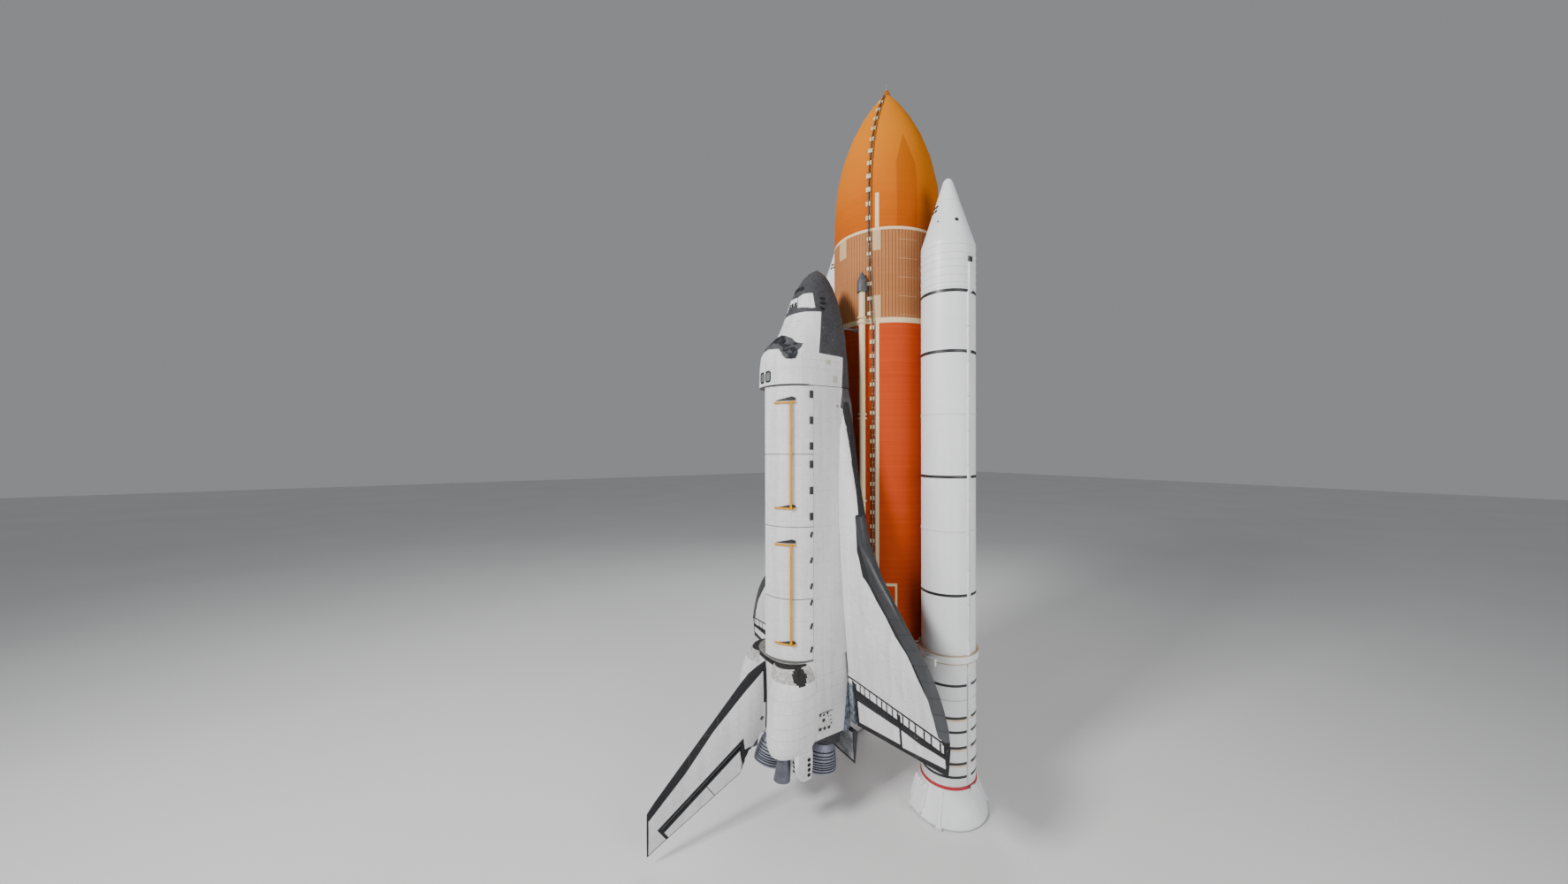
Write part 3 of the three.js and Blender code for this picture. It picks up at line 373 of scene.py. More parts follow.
def tank_skin(station):
    """The tank's radius at a station, in inches: an arc in front, then straight."""
    if intertank_top < station < intertank_foot:
        return barrel_radius + intertank_swell
    if station < ogive_end:
        rise = math.sqrt(ogive_radius ** 2 - (ogive_end - station) ** 2)
        return rise - (ogive_radius - barrel_radius)
    return barrel_radius


def on_tank(station, degrees, out=0.0):
    """A place on the tank's skin: degrees from its back towards starboard, and inches off the skin."""
    angle = math.radians(degrees)
    radius = tank_skin(station) + out
    return in_stack(station, radius * math.sin(angle), tank_axis + radius * math.cos(angle))


tank_centre = (0, (middle_height - tank_axis) * inch)
cream_closeout = (0.76, 0.60, 0.37)


def foam(name, deep, pale, ring=0.5):
    """Sprayed foam: fine level rings, slow clouds of a second tint and a rind of small pits."""
    finish = Finish(name, roughness=0.9, gloss=0.12)
    finish.tank_station = finish.station + orbiter_start
    back = tank_centre[1] - finish.y
    finish.turn = finish.node("ShaderNodeMath", {"operation": "ARCTAN2"}, finish.x, back) * (180 / math.pi)
    rings = finish.noise(1.0, 2, finish.stretched(0.05, 0.05, 9.0))
    clouds = finish.noise(0.35, 4)
    pits = finish.noise(30, 2)
    finish.foam_colour = finish.mix(rings * ring + clouds * (1 - ring), deep, pale)
    finish.foam_height = rings * 0.6 + pits * 0.4
    return finish


f = oxygen_foam = foam("amber_foam", (0.42, 0.078, 0.002), (0.56, 0.120, 0.003), 0.35)
top_light = f.table(f.tank_station, [(371, 1.0), (560, 0.75), (760, 0.15), (853, 0.0)])
amber = f.mix(top_light, f.foam_colour, (0.70, 0.220, 0.003))
pale_strip = f.turn.between(36.5, 40.4) & f.tank_station.between(752, 852)
darker_flank = f.turn.between(58, 80) & (f.tank_station > 560 + abs(f.turn - 69) * 9)
amber = f.mix(darker_flank * 0.4, amber, (0.28, 0.040, 0.002))
f.paint(f.mix(pale_strip, amber, (0.78, 0.60, 0.36)), f.foam_height, 0.003)
covered("oxygen_tank", "oxygen_tank_foam", oxygen_foam, "amber_foam")

f = hydrogen_foam = foam("orange_foam", (0.44, 0.044, 0.008), (0.56, 0.070, 0.013), 0.5)
seams = f.tank_station.lines(182, 2.2, intertank_foot + 95)
orange = f.mix(seams * 0.5, f.foam_colour, (0.45, 0.060, 0.010))
closeout = (f.turn.between(36.8, 40.4) & (f.tank_station < 2040)) | (f.tank_station < 1128)
frame_patch = f.turn.between(45.5, 58) & f.tank_station.between(1876, 1960)
frame_patch = frame_patch & ~(f.turn.between(47.5, 56) & (f.tank_station > 1884))
closeout = closeout | frame_patch
dome_foam = f.mix(f.tank_station > 2058, orange, (0.46, 0.075, 0.010))
f.paint(f.mix(closeout, dome_foam, cream_closeout), f.foam_height, 0.004)
covered("hydrogen_tank", "hydrogen_tank_foam", hydrogen_foam, "orange_foam")

foam_starts = 345
f = tip_finish = Finish("tip_metal", roughness=0.5, metallic=0.35)
tip_metal = f.mix(f.noise(9, 4), (0.30, 0.28, 0.22), (0.46, 0.43, 0.34))
foamed = f.station + orbiter_start > foam_starts
f.paint(f.mix(foamed, tip_metal, (0.50, 0.150, 0.006)), f.noise(14, 2), 0.002)
covered("tank_nose_cone", "tank_tip", tip_finish, "grey_metal", 40)


# Intertank: a ring of upright pressed ribs between two cream foam flanges. Its foam is browner, and the
# spray has left paler patches where panels were closed out by hand.
rib_count, rib_depth = 108, 0.9 * inch
low, high = level_of(intertank_foot - 0.8), level_of(intertank_top + 0.8)
middle = (*tank_centre, (low + high) / 2)
bpy.ops.object.select_all(action="DESELECT")
bpy.ops.mesh.primitive_cylinder_add(
    vertices=rib_count * 2, radius=barrel_radius * inch, depth=high - low - 0.001, end_fill_type="NGON",
    location=middle)
intertank = bpy.context.object
edit(intertank)
bpy.ops.mesh.select_all(action="DESELECT")
bpy.ops.object.mode_set(mode="OBJECT")
walls = [face for face in intertank.data.polygons if abs(face.normal.z) < 0.5]
walls.sort(key=lambda face: math.atan2(face.center.y, face.center.x))
for face in walls[::2]:
    face.select = True
bpy.ops.object.mode_set(mode="EDIT")
bpy.ops.mesh.inset(thickness=0.004, use_individual=True)
bpy.ops.mesh.extrude_faces_move(TRANSFORM_OT_shrink_fatten={"value": rib_depth})
bpy.ops.transform.resize(value=(1, 1, 0.962), center_override=middle)
done(intertank, "intertank_ribs", 25)

f = rib_foam = foam("tan_foam", (0.42, 0.165, 0.060), (0.54, 0.235, 0.095), 0.3)
# Painted shade: a dark line at each rib stands in for the shade that the ribs' relief casts.
rib = f.turn.lines(360 / rib_count, 1.25)
tan = f.mix(rib * 0.8, f.foam_colour, (0.23, 0.085, 0.032))
frames = f.tank_station.lines(54, 1.6, 26) & f.turn.between(60, 80)
tan = f.mix(frames * 0.6, tan, (0.62, 0.40, 0.24))
patches = (
    (f.turn.between(-11, 2) & (f.tank_station < 916))
    | (f.turn.between(34, 42) & (f.tank_station < 918))
    | (f.turn.between(34.4, 42) & (f.tank_station > 1048))
)
flanges = (f.tank_station < intertank_top + 9) | (f.tank_station > intertank_foot - 11)
tan = f.mix(patches * 0.75, tan, (0.66, 0.50, 0.29))
f.paint(f.mix(flanges, tan, cream_closeout), f.foam_height, 0.003)
settle(intertank, "vehicle", rib_foam, "tan_foam", "intertank")


# Cable tray and pressure line: a dark metal channel and a thin pipe run side by side down the tank, and
# stand every few feet on blocks of cream foam that are fixed to the skin.
def beside_tray(station, degrees):
    """A turn away from the tray, as it is on the barrel. It grows on the nose, to keep its distance."""
    return degrees * 166 / max(60, tank_skin(station))


def tube(name, points, radius, sides=6, angle=40):
    """A round bar or pipe that follows a line of points. Its radius is in inches."""
    curve = bpy.data.curves.new(name, "CURVE")
    curve.dimensions = "3D"
    curve.bevel_depth = radius * inch
    curve.bevel_resolution = max(0, sides // 2 - 2)
    curve.use_fill_caps = True
    line = curve.splines.new("POLY")
    line.points.add(len(points) - 1)
    for spot, point in zip(line.points, points):
        spot.co = (*point, 1)
    piece = bpy.data.objects.new(name, curve)
    bpy.context.scene.collection.objects.link(piece)
    bpy.ops.object.select_all(action="DESELECT")
    bpy.context.view_layer.objects.active = piece
    piece.select_set(True)
    bpy.ops.object.convert(target="MESH")
    return done(bpy.context.object, name, angle)


def block(name, middle, size, bevel=0.0):
    """A box from its middle and its size in inches, with its edges taken off."""
    bpy.ops.object.select_all(action="DESELECT")
    bpy.ops.mesh.primitive_cube_add(size=1, location=middle)
    piece = bpy.context.object
    edit(piece)
    bpy.ops.transform.resize(value=[part * inch for part in size], center_override=tuple(middle))
    if bevel:
        bpy.ops.mesh.bevel(offset=bevel, segments=2, affect="EDGES")
    return done(piece, name)


def turned_about(piece, axis_point, degrees, axis="Z"):
    """Swings a piece about an upright or level line through a point."""
    edit(piece)
    bpy.ops.transform.rotate(
        value=math.radians(degrees), orient_axis=axis, center_override=tuple(axis_point))
    bpy.ops.object.mode_set(mode="OBJECT")
    return piece


def copied(piece, name):
    """Another of the same piece, with a mesh of its own."""
    bpy.ops.object.select_all(action="DESELECT")
    bpy.context.view_layer.objects.active = piece
    piece.select_set(True)
    bpy.ops.object.duplicate(linked=False)
    bpy.context.object.name = name
    return bpy.context.object


# columns: station, degrees from the tank's back towards starboard
tray_path = [(374, 30), (400, 30), (430, 30), (470, 30), (520, 30), (590, 30), (675, 30), (770, 30),
             (848, 30), (856, 30.1), (1070, 32), (1118, 33.6), (1128, 34), (1500, 34), (2038, 34)]
channel = tube("tray_channel", [on_tank(station, turn, 2.6) for station, turn in tray_path], 2.1, 8)
line_path = [on_tank(station, turn + beside_tray(station, 2.4), 3.2) for station, turn in tray_path]
line = tube("pressure_line", line_path, 1.1, 8)
f = dark_metal = Finish("tray_metal", roughness=0.45, metallic=0.5)
joint = f.z.lines(0.5, 0.03)
f.paint(f.mix(joint, f.mix(f.noise(6, 3), (0.09, 0.07, 0.05), (0.19, 0.16, 0.12)), (0.45, 0.40, 0.30)))
settle(channel, "vehicle", dark_metal, "grey_metal", "cable_tray")
settle(line, "vehicle", dark_metal, "grey_metal")

# columns: station of the first block, of the last, their spacing, turn from the tank's back, length
block_rows = [(412, 824, 41, 30, 13), (884, 1100, 43, 31.2, 10), (1140, 2030, 41, 34, 11)]
blocks = []
for first, last, spacing, degrees, length in block_rows:
    station = first
    while station <= last:
        turn = degrees + beside_tray(station, -0.4)
        spot = on_tank(station, turn, 1.4)
        slope = math.degrees(math.atan2(tank_skin(station + 5) - tank_skin(station - 5), 10))
        piece = block("foam_block", spot, (13.5, 3.2, length), 0.006)
        turned_about(piece, spot, slope, "X")
        turned_about(piece, spot, -turn)
        blocks.append(piece)
        station += spacing
foam_blocks = joined("tray_foam_blocks", blocks)
cream = foam("cream_foam", (0.62, 0.48, 0.29), (0.80, 0.66, 0.43), 0.2)
cream.paint(cream.foam_colour, cream.foam_height, 0.002)
settle(foam_blocks, "vehicle", cream, "cream_foam")


# Oxygen feed line: a wide cream pipe that leaves the intertank under a dark pointed fairing, runs down
# beside the tray on collars, and bends across to the orbiter's corner at the foot of the tank.
def stack_rows(rows):
    """Rows of tank station and radius in inches, as heights and radii in metres."""
    return [(level_of(station), radius * inch) for station, radius in rows]


feed_turn, feed_out, feed_radius = 25, 12.5, 9.5
pipe_path = [on_tank(1037, feed_turn, feed_out), on_tank(1128, feed_turn, feed_out + intertank_swell),
             on_tank(2066, feed_turn, feed_out), on_tank(2078, feed_turn - 0.1, feed_out + 6),
             in_stack(2089, 74, 599)]
pipe = tube("feed_pipe", pipe_path, feed_radius - 0.4, 24)
collar_rows = [(1112, 3.4), (1126, 3.4), (1390, 3.0), (1402, 3.0), (1640, 2.4), (1890, 2.4), (2040, 2.4)]
collars = []
for station, extra in collar_rows:
    spot = on_tank(station, feed_turn, feed_out + (intertank_swell if station < 1128 else 0))
    rows = stack_rows([(station + 2.5, feed_radius), (station + 2, feed_radius + extra),
                       (station - 2, feed_radius + extra), (station - 2.5, feed_radius)])
    collars.append(turned("collar", (spot.x, spot.y), rows, 32))
feed_line = joined("oxygen_feed_line", [pipe, *collars])
f = feed_paint = foam("feed_foam", (0.66, 0.52, 0.32), (0.80, 0.66, 0.43), 0.3)
f.paint(f.foam_colour, f.foam_height, 0.002)
settle(feed_line, "vehicle", feed_paint, "cream_foam", "oxygen_feed_line")

fairing_rows = stack_rows([(1038, 14.6), (1022, 14.8), (1008, 13.2), (995, 9.8), (985, 5.4), (978, 1.4)])
spot = on_tank(1040, feed_turn, feed_out)
fairing = turned("feed_fairing", (spot.x, spot.y), fairing_rows, 32, 60)
fairing_grey = clouded("fairing_grey", (0.045, 0.045, 0.050), (0.10, 0.10, 0.11), (7, 4), (20, 2), 0.002,
                       roughness=0.6)
settle(fairing, "vehicle", fairing_grey, "cream_foam")


# Struts and umbilicals: the forward bipod and the aft beam carry the orbiter, and two boxes beside the
# beam pass the propellants across. They are steel under cream foam.
strut_metal = clouded("strut_metal", (0.20, 0.19, 0.18), (0.40, 0.37, 0.33), (5, 4), (25, 2), 0.002,
                      roughness=0.5, metallic=0.4)
covered("forward_bipod", "forward_bipod_struts", strut_metal, "grey_metal", 40)
covered("aft_beam", "aft_beam_struts", cream, "cream_foam", 40)
f = plates = foam("umbilical_foam", (0.55, 0.42, 0.26), (0.74, 0.60, 0.40), 0.2)
bolts = (f.z.lines(0.075, 0.02) & f.y.lines(0.075, 0.02)) | (f.z.lines(0.18, 0.008))
f.paint(f.mix(bolts, f.foam_colour, (0.18, 0.15, 0.12)), f.foam_height, 0.002)
for node in ("oxygen_umbilical", "hydrogen_umbilical"):
    box = from_frame(node, node + "_housing")
    edit(box)
    choose(box, lambda centre, normal: abs(normal.z) > 0.9 or abs(normal.x) > 0.9)
    bpy.ops.mesh.inset(thickness=0.04, use_individual=True)
    bpy.ops.mesh.inset(thickness=0.02, depth=-0.02, use_individual=True)
    done(box)
    settle(box, "vehicle", plates, "cream_foam", node)


# Boosters: the pointed nose and frustum, the ridged forward skirt and the long motor case are steel
# cylinders in gloss white paint. Black stripes mark the case joints, some with a cream cork band below.
booster_start, booster_side, case_radius = 543, 250.5, 73
booster_centre = (booster_side * inch, tank_centre[1])


def booster_rows(rows):
    """Rows of booster station and radius in inches, as heights and radii in metres."""
    return stack_rows([(station + booster_start, radius) for station, radius in rows])


def on_booster(station, out, back=0):
    """A place by the starboard booster: inches from its axis away from the tank, and to its back."""
    return in_stack(station + booster_start, booster_side + out, tank_axis + back)


def round_booster(station, degrees, radius):
    """A place on the starboard booster: degrees from its back towards the outboard side."""
    angle = math.radians(degrees)
    return on_booster(station, radius * math.sin(angle), radius * math.cos(angle))


def mirrored(piece, name):
    """The same piece for the port side."""
    other = copied(piece, name)
    edit(other)
    bpy.ops.transform.resize(value=(-1, 1, 1), center_override=(0, 0, 0))
    bpy.ops.mesh.flip_normals()
    return done(other, name, outwards=False)


def settle_pair(piece, stem, finish, slot, node=None):
    """Settles a starboard piece and its mirrored twin, each in place of its own solid where one is given."""
    twin = mirrored(piece, stem + "_port")
    piece.name = piece.data.name = stem + "_starboard"
    for one, hand in ((piece, "starboard"), (twin, "port")):
        settle(one, "vehicle", finish, slot, *([f"{node}_{hand}"] if node else []))


def gloss_white(name):
    """Booster paint: cool white with faint upright runs and a little dust."""
    finish = Finish(name, roughness=0.45, coat=0.05)
    finish.booster_station = finish.station + orbiter_start - booster_start
    out = (abs(finish.x) - booster_centre[0]) / inch
    back = (tank_centre[1] - finish.y) / inch
    finish.turn = finish.node("ShaderNodeMath", {"operation": "ARCTAN2"}, out, back) * (180 / math.pi)
    runs = finish.noise(1.0, 3, finish.stretched(5, 5, 0.25))
    dust = finish.noise(0.7, 4)
    finish.white = finish.mix(runs * 0.4 + dust * 0.6, (0.76, 0.765, 0.775), (0.86, 0.865, 0.88))
    return finish


ridge_stations = (408, 430, 448, 468, 489, 509)
f = case_paint = gloss_white("booster_white")
along = f.booster_station
clear_of_tunnel = ~f.turn.between(80.8, 91.2)
stripes = (along.near_any((530.5, 689.5), 8.5) | along.near_any((1021, 1333), 7.5)
           | along.near_any((1570, 1655, 1692, 1733, 1775, 1810), 7))
stripes = stripes & (clear_of_tunnel | (along < 1340))
cork = along.near_any((1661, 1739, 1781), 7)
grooves = (along.near_any((855, 1165), 1.6) | along.near(1609, 2.4) | along.near(272, 1.2)
           | along.near(521, 1.4) | (along.near_any(ridge_stations, 1.0) * 0.7)
           | (f.turn.near(22, 0.5) & (along < 396)) * 0.5)
white = f.mix(grooves * 0.65, f.white, (0.30, 0.29, 0.28))
white = f.mix((cork & clear_of_tunnel) * 0.85, white, (0.66, 0.54, 0.34))
f.paint(f.mix(stripes, white, (0.018, 0.018, 0.020)))


def raised_ring(station, foot, top, rise):
    """Rows of a ring round the case, from half its width at the foot and at the top, and its rise."""
    return [(station + foot, case_radius), (station + top, case_radius + rise),
            (station - top, case_radius + rise), (station - foot, case_radius)]


nose_rows = [(394.97, case_radius), (390, 71.4), (274.6, 33.9), (273.8, 33.0), (272.2, 33.0), (271.4, 32.9),
             (214, 14.5), (209, 12.4), (205, 9.4), (202, 5.6), (200.4, 1.5)]
nose = turned("booster_nose", booster_centre, booster_rows(nose_rows), 96, 25)
skirt_rows = [(525.9, case_radius)]
for station in reversed(ridge_stations):
    skirt_rows += raised_ring(station, 1.6, 0.8, 0.8)
skirt_rows.append((395.03, case_radius))
forward_skirt = turned("booster_forward_skirt", booster_centre, booster_rows(skirt_rows), 96, 25)
post_station = 442.8
post_path = [on_booster(post_station, -70), on_booster(post_station, 168 - booster_side)]
post = tube("thrust_post", post_path, 8.9, 24)
post_base = block("post_base", on_booster(post_station, -75.5), (7, 26, 30), 0.02)
forward_skirt = joined("booster_forward_skirt", [forward_skirt, post, post_base])
case_rows = [(1835.9, case_radius), (1822, case_radius)]
for station in (1810, 1775, 1733, 1692, 1655, 1609, 1570, 1333, 1165, 1021, 855, 689.5):
    case_rows += raised_ring(station, 4.5, 3.5, 0.7)
case_rows.append((526.1, case_radius))
case = turned("booster_case", booster_centre, booster_rows(case_rows), 96, 25)
settle_pair(nose, "booster_nose_cone", case_paint, "white_paint", "booster_nose")
settle_pair(forward_skirt, "booster_forward_skirt_shell", case_paint, "white_paint", "booster_forward_skirt")
settle_pair(case, "booster_motor_case", case_paint, "white_paint", "booster_case")


# Wiring tunnel: a low rounded cover in bolted lengths down the outboard side of each case, with a box at
# its head on the forward skirt and another where it meets the aft skirt.
tunnel_turn, tunnel_end = 86, 1830
covers = []
station = 532
while station < tunnel_end - 4:
    length = min(92, tunnel_end - station)
    middle = round_booster(station + length / 2, tunnel_turn, 74.6)
    cover = block("tunnel_length", middle, (5.2, 11.4, length - 1.2), 0.02)
    covers.append(turned_about(cover, middle, tunnel_turn - 90))
    station += length
# columns: station, degrees from the booster's back, length, width, distance from the axis
tunnel_boxes = [(493, 90, 80, 13, 74.4), (1847, 93, 25, 18, 80)]
for station, degrees, length, width, reach in tunnel_boxes:
    middle = round_booster(station, degrees, reach)
    cover = block("tunnel_box", middle, (5.0, width, length), 0.03)
    covers.append(turned_about(cover, middle, degrees - 90))
tunnel = joined("wiring_tunnel", covers)
f = tunnel_paint = gloss_white("tunnel_white")
stains = f.noise(1.0, 3, f.stretched(9, 9, 0.6), 0.45, 0.75)
f.paint(f.mix(stains * 0.35, f.white, (0.42, 0.41, 0.39)))
settle_pair(tunnel, "booster_wiring_tunnel", tunnel_paint, "white_paint")


# Ports on the boosters' noses and skirts: the separation motors fire from four round mouths near the
# cap, and smaller round covers and a dark antenna sit lower down.
def port_on(surface, point, radius, proud=0.010, wide=1.0):
    """A round or oval port: a rim that stands proud of the skin round a shallow dark hollow. Its radius
    is in inches, and wide stretches it."""
    radius *= inch
    _, spot, normal, _ = surface.closest_point_on_mesh(point)
    rise = proud + radius * 0.06
    bpy.ops.object.select_all(action="DESELECT")
    bpy.ops.mesh.primitive_circle_add(
        vertices=20, radius=radius, fill_type="NGON", location=spot - normal * 0.02,
        rotation=normal.to_track_quat("Z", "Y").to_euler())
    port = bpy.context.object
    port.scale = (wide, 1, 1)
    bpy.ops.object.transform_apply(location=True, rotation=True, scale=True)
    edit(port)
    bpy.ops.mesh.extrude_region_move(TRANSFORM_OT_translate={"value": tuple(normal * (0.02 + rise))})
    bpy.ops.mesh.inset(thickness=radius * 0.16)
    bpy.ops.mesh.extrude_region_move(TRANSFORM_OT_translate={"value": tuple(normal * -0.005)})
    return done(port, "port", 35)


ports = [port_on(nose, round_booster(station, degrees, 40), 4.6)
         for station in (286, 300) for degrees in (-7, -24)]
ports += [port_on(nose, round_booster(336, 13, 55), 2.4), port_on(nose, round_booster(337, 65, 55), 5.2)]
ports.append(block("antenna", round_booster(446, 90, 75.0), (5, 14, 14), 0.02))
motor_ports = joined("separation_motor_ports", ports)
port_finish = clouded("port_rim", (0.018, 0.018, 0.019), (0.045, 0.045, 0.047), (40, 2), roughness=0.55)
settle_pair(motor_ports, "separation_motor_ports", port_finish, "grey_metal")


# Aft attach ring and struts: a thick white steel ring bolted round the case, edged in brown cork above
# and below, with a box on its back and struts across to the tank.
f = ring_paint = gloss_white("ring_white")
upper_rim = (f.booster_station < 1492.5) | (f.parts(f.facing)[2] > 0.5)
lower_rim = f.booster_station > 1509.5
bolts = f.turn.lines(6, 1.0) & f.booster_station.near(1501, 3)
ring_white = f.mix(bolts * 0.6, f.white, (0.40, 0.40, 0.40))
f.paint(f.mix((upper_rim | lower_rim) * 0.85, ring_white, (0.40, 0.27, 0.13)))
for hand in ("starboard", "port"):
    covered(f"booster_attach_ring_{hand}", f"booster_ring_{hand}", ring_paint, "white_paint")

box_turn = 8
middle = round_booster(1512, box_turn, 82)
ring_box = turned_about(block("ring_box", middle, (30, 8, 19), 0.015), middle, -box_turn)
settle_pair(ring_box, "attach_ring_box", tunnel_paint, "white_paint")


# Aft skirt and nozzle: the flared steel skirt carries the stack's weight on four feet. It is painted
# white, with a red ring where it meets the case, ribs, and four separation motors on its side.
f = skirt_paint = gloss_white("skirt_white")
red_ring = f.booster_station < 1843
stiffeners = f.booster_station.near(1925, 1.2)
skirt_colour = f.mix(stiffeners * 0.35, f.white, (0.45, 0.45, 0.45))
skirt_colour = f.mix((f.booster_station > 1926) * 0.5, skirt_colour, (0.42, 0.41, 0.40))
f.paint(f.mix(red_ring, skirt_colour, (0.44, 0.018, 0.028)), stiffeners, 0.01)
skirt = from_frame("booster_aft_skirt_starboard", "booster_skirt", 35)
settle_pair(skirt, "booster_skirt", skirt_paint, "white_paint", "booster_aft_skirt")
# columns of both lists: station, distance from the booster's axis
motor_path = [(1846, 83.5), (1852, 86.5), (1894, 99), (1900, 100)]
rib_path = [(1846, 79), (1908, 99.5)]
bands = []
for motor_turn, rib_turn in zip((-31, -21.5, -12, -2.5), (31.4, 118, 150, 208)):
    motor = [round_booster(station, motor_turn, reach) for station, reach in motor_path]
    bands.append(tube("separation_motor", motor, 6.3, 16))
    rib = [round_booster(station, rib_turn, reach) for station, reach in rib_path]
    bands.append(tube("skirt_rib", rib, 1.2, 8))
settle_pair(joined("skirt_bands", bands), "booster_skirt_bands", skirt_paint, "white_paint")
nozzle_grey = clouded("nozzle_grey", (0.13, 0.13, 0.13), (0.26, 0.25, 0.24), (5, 4), (15, 3), 0.004,
                      roughness=0.6, metallic=0.2)
for hand in ("starboard", "port"):
    node = f"booster_nozzle_{hand}"
    covered(node, f"booster_throat_{hand}", nozzle_grey, "grey_metal", 35, node + "_body")


# Nose: the cap is one carbon shell, and the thruster module behind it is set in, its ports cut in rows.
# Both are dark, apart from a pale blanket on the module's top. Behind them the orbiter wears silica
# tiles, white above and black below, glued on with gaps between, and quilted blankets.
def on_orbiter(station, side, height):
    """A place in the orbiter's drawings, in metres in the frame."""
    return in_stack(station + orbiter_start, side, height + orbiter_base)


def orbiter_points(*places):
    """Several places on the orbiter."""
    return [on_orbiter(*place) for place in places]


def orbiter_ports(surface, proud, *rows):
    """Ports from rows of station, side, height, radius and, where a port is oval, how far it stretches."""
    return [port_on(surface, on_orbiter(*row[:3]), row[3], proud, *row[4:]) for row in rows]


def skin(name, white_part, grime=0.35, tile=6.0, roughness=0.72, dark=1.0, shut_place=None):
    """Tiles, six inches square unless told, each weathered to its own shade, with grey streaks from
    flight. The mask says where they are white, and the rest is black. An opened part's marks are worked
    out from the place that it has when it is shut."""
    finish = Finish(name, roughness=roughness, gloss=0.3)
    if shut_place:
        finish.side, finish.height = shut_place(finish)
    finish.across = abs(finish.side)
    face_out, face_back, _ = finish.parts(finish.facing)
    finish.facing_back = -1 * face_back
    finish.facing_side = abs(face_out)
    shade = finish.cells(tile, tile * 0.997, tile * 1.003)
    cloud = finish.noise(0.8, 4)
    streak = finish.noise(1.0, 3, finish.stretched(3.2, 3.2, 0.16), 0.42, 0.72)
    specks = finish.noise(13, 2, low=0.70, high=0.74)
    upright = finish.facing_side > 0.7
    gaps = finish.station.lines(tile, 0.45) | (finish.height.lines(tile, 0.45) & upright)
    finish.gaps = gaps | (finish.side.lines(tile, 0.45, 0.5 * tile) & ~upright)
    white = finish.mix(cloud * 0.55 + shade * 0.45, (0.70, 0.69, 0.70), (0.84, 0.83, 0.85))
    white = finish.mix(streak * grime, white, (0.42, 0.395, 0.37))
    white = finish.mix(finish.gaps * 0.16, white, (0.30, 0.29, 0.28))
    finish.white = finish.mix(specks * 0.5, white, (0.20, 0.19, 0.18))
    black = finish.mix(cloud * 0.4 + shade * 0.6, tuple(0.034 * dark * part for part in (1, 1, 1.12)),
                       tuple(0.068 * dark * part for part in (1, 1, 1.12)))
    black = finish.mix(finish.gaps * 0.5, black, (0.016, 0.016, 0.018))
    finish.black = finish.mix(specks * 0.5, black, (0.30, 0.30, 0.31))
    finish.relief = (1 - finish.gaps) * 0.6 + finish.noise(9, 3) * 0.4
    finish.colour = finish.mix(white_part(finish), finish.black, finish.white)
    return finish


def all_white(s):
    return s.height > 0


def all_black(s):
    return s.height > 900


carbon = clouded("nose_carbon", (0.042, 0.042, 0.047), (0.075, 0.075, 0.083), (2.5, 5), (30, 2),
                 roughness=0.5)
covered("nose_cap", "nose_shell", carbon, "carbon", 60)
f = module_skin = skin("module_tiles", all_black, roughness=0.55)
seam = f.station.near(258.8, 1.0) | f.station.near(300, 0.5) | f.station.near(375.6, 1.2)
f.paint(f.mix(seam * 0.8, f.colour, (0.02, 0.02, 0.02)), f.relief, 0.003)
module = covered("forward_thruster_module", "thruster_module", module_skin, "black_tile", 60)


def plate_on(name, surface, outline, thickness, rounding=0.0):
    """A thin plate laid on a curved surface: an outline of points with its corners rounded, filled,
    pressed on to the surface and given a thickness. Its back is sunk a little, so that no gap shows."""
    proud, sunk = thickness + 0.002, 0.002
    bpy.ops.object.select_all(action="DESELECT")
    bpy.ops.mesh.primitive_circle_add(vertices=len(outline), fill_type="NGON")
    plate = bpy.context.object
    for corner, point in zip(plate.data.vertices, outline):
        corner.co = point
    edit(plate)
    if rounding:
        bpy.ops.mesh.bevel(offset=rounding, segments=4, affect="VERTICES")
        bpy.ops.mesh.select_all(action="SELECT")
    bpy.ops.mesh.quads_convert_to_tris(quad_method="BEAUTY", ngon_method="BEAUTY")
    for _ in range(3):
        bpy.ops.mesh.subdivide(number_cuts=1)
    bpy.ops.object.mode_set(mode="OBJECT")
    wrap = plate.modifiers.new("pressed", "SHRINKWRAP")
    wrap.target = surface
    wrap.wrap_method = "NEAREST_SURFACEPOINT"
    wrap.wrap_mode = "ABOVE_SURFACE"
    wrap.offset = proud
    bpy.ops.object.modifier_apply(modifier="pressed")
    _, _, normal, _ = surface.closest_point_on_mesh(sum(outline, Vector()) / len(outline))
    facing = sum((face.normal for face in plate.data.polygons), Vector())
    edit(plate)
    if facing.dot(normal) < 0:
        bpy.ops.mesh.flip_normals()
    bpy.ops.object.mode_set(mode="OBJECT")
    walls = plate.modifiers.new("thickness", "SOLIDIFY")
    walls.thickness = proud + sunk
    walls.offset = -1
    bpy.ops.object.modifier_apply(modifier="thickness")
    return done(plate, name, 35, outwards=False)


blanket = skin("pale_blanket", all_white, grime=0.5)
blanket.paint(blanket.colour, blanket.relief, 0.003)
pale = orbiter_points((328.5, 17, 407), (320.5, 30.4, 399.3), (320.4, 53, 382), (354.4, 66.3, 385),
                      (365, 70.4, 385), (366, 64, 394), (360, 27, 414.5))
settle_pair(plate_on("nose_blanket", module, pale, 0.006, 0.02), "nose_blanket", blanket, "white_blanket")
strip = orbiter_points((327.5, -19, 406), (328.5, 16, 407), (350, 20, 413), (350, -20, 413))
settle(plate_on("nose_top_blanket", module, strip, 0.005, 0.01), "vehicle", blanket, "white_blanket")
mouth = clouded("thruster_mouth", (0.002, 0.002, 0.002), (0.008, 0.008, 0.009), (50, 2), roughness=0.9)
ports = orbiter_ports(module, 0.016, (301, 17.5, 394, 6.8), (346, 14.5, 413, 4.8))
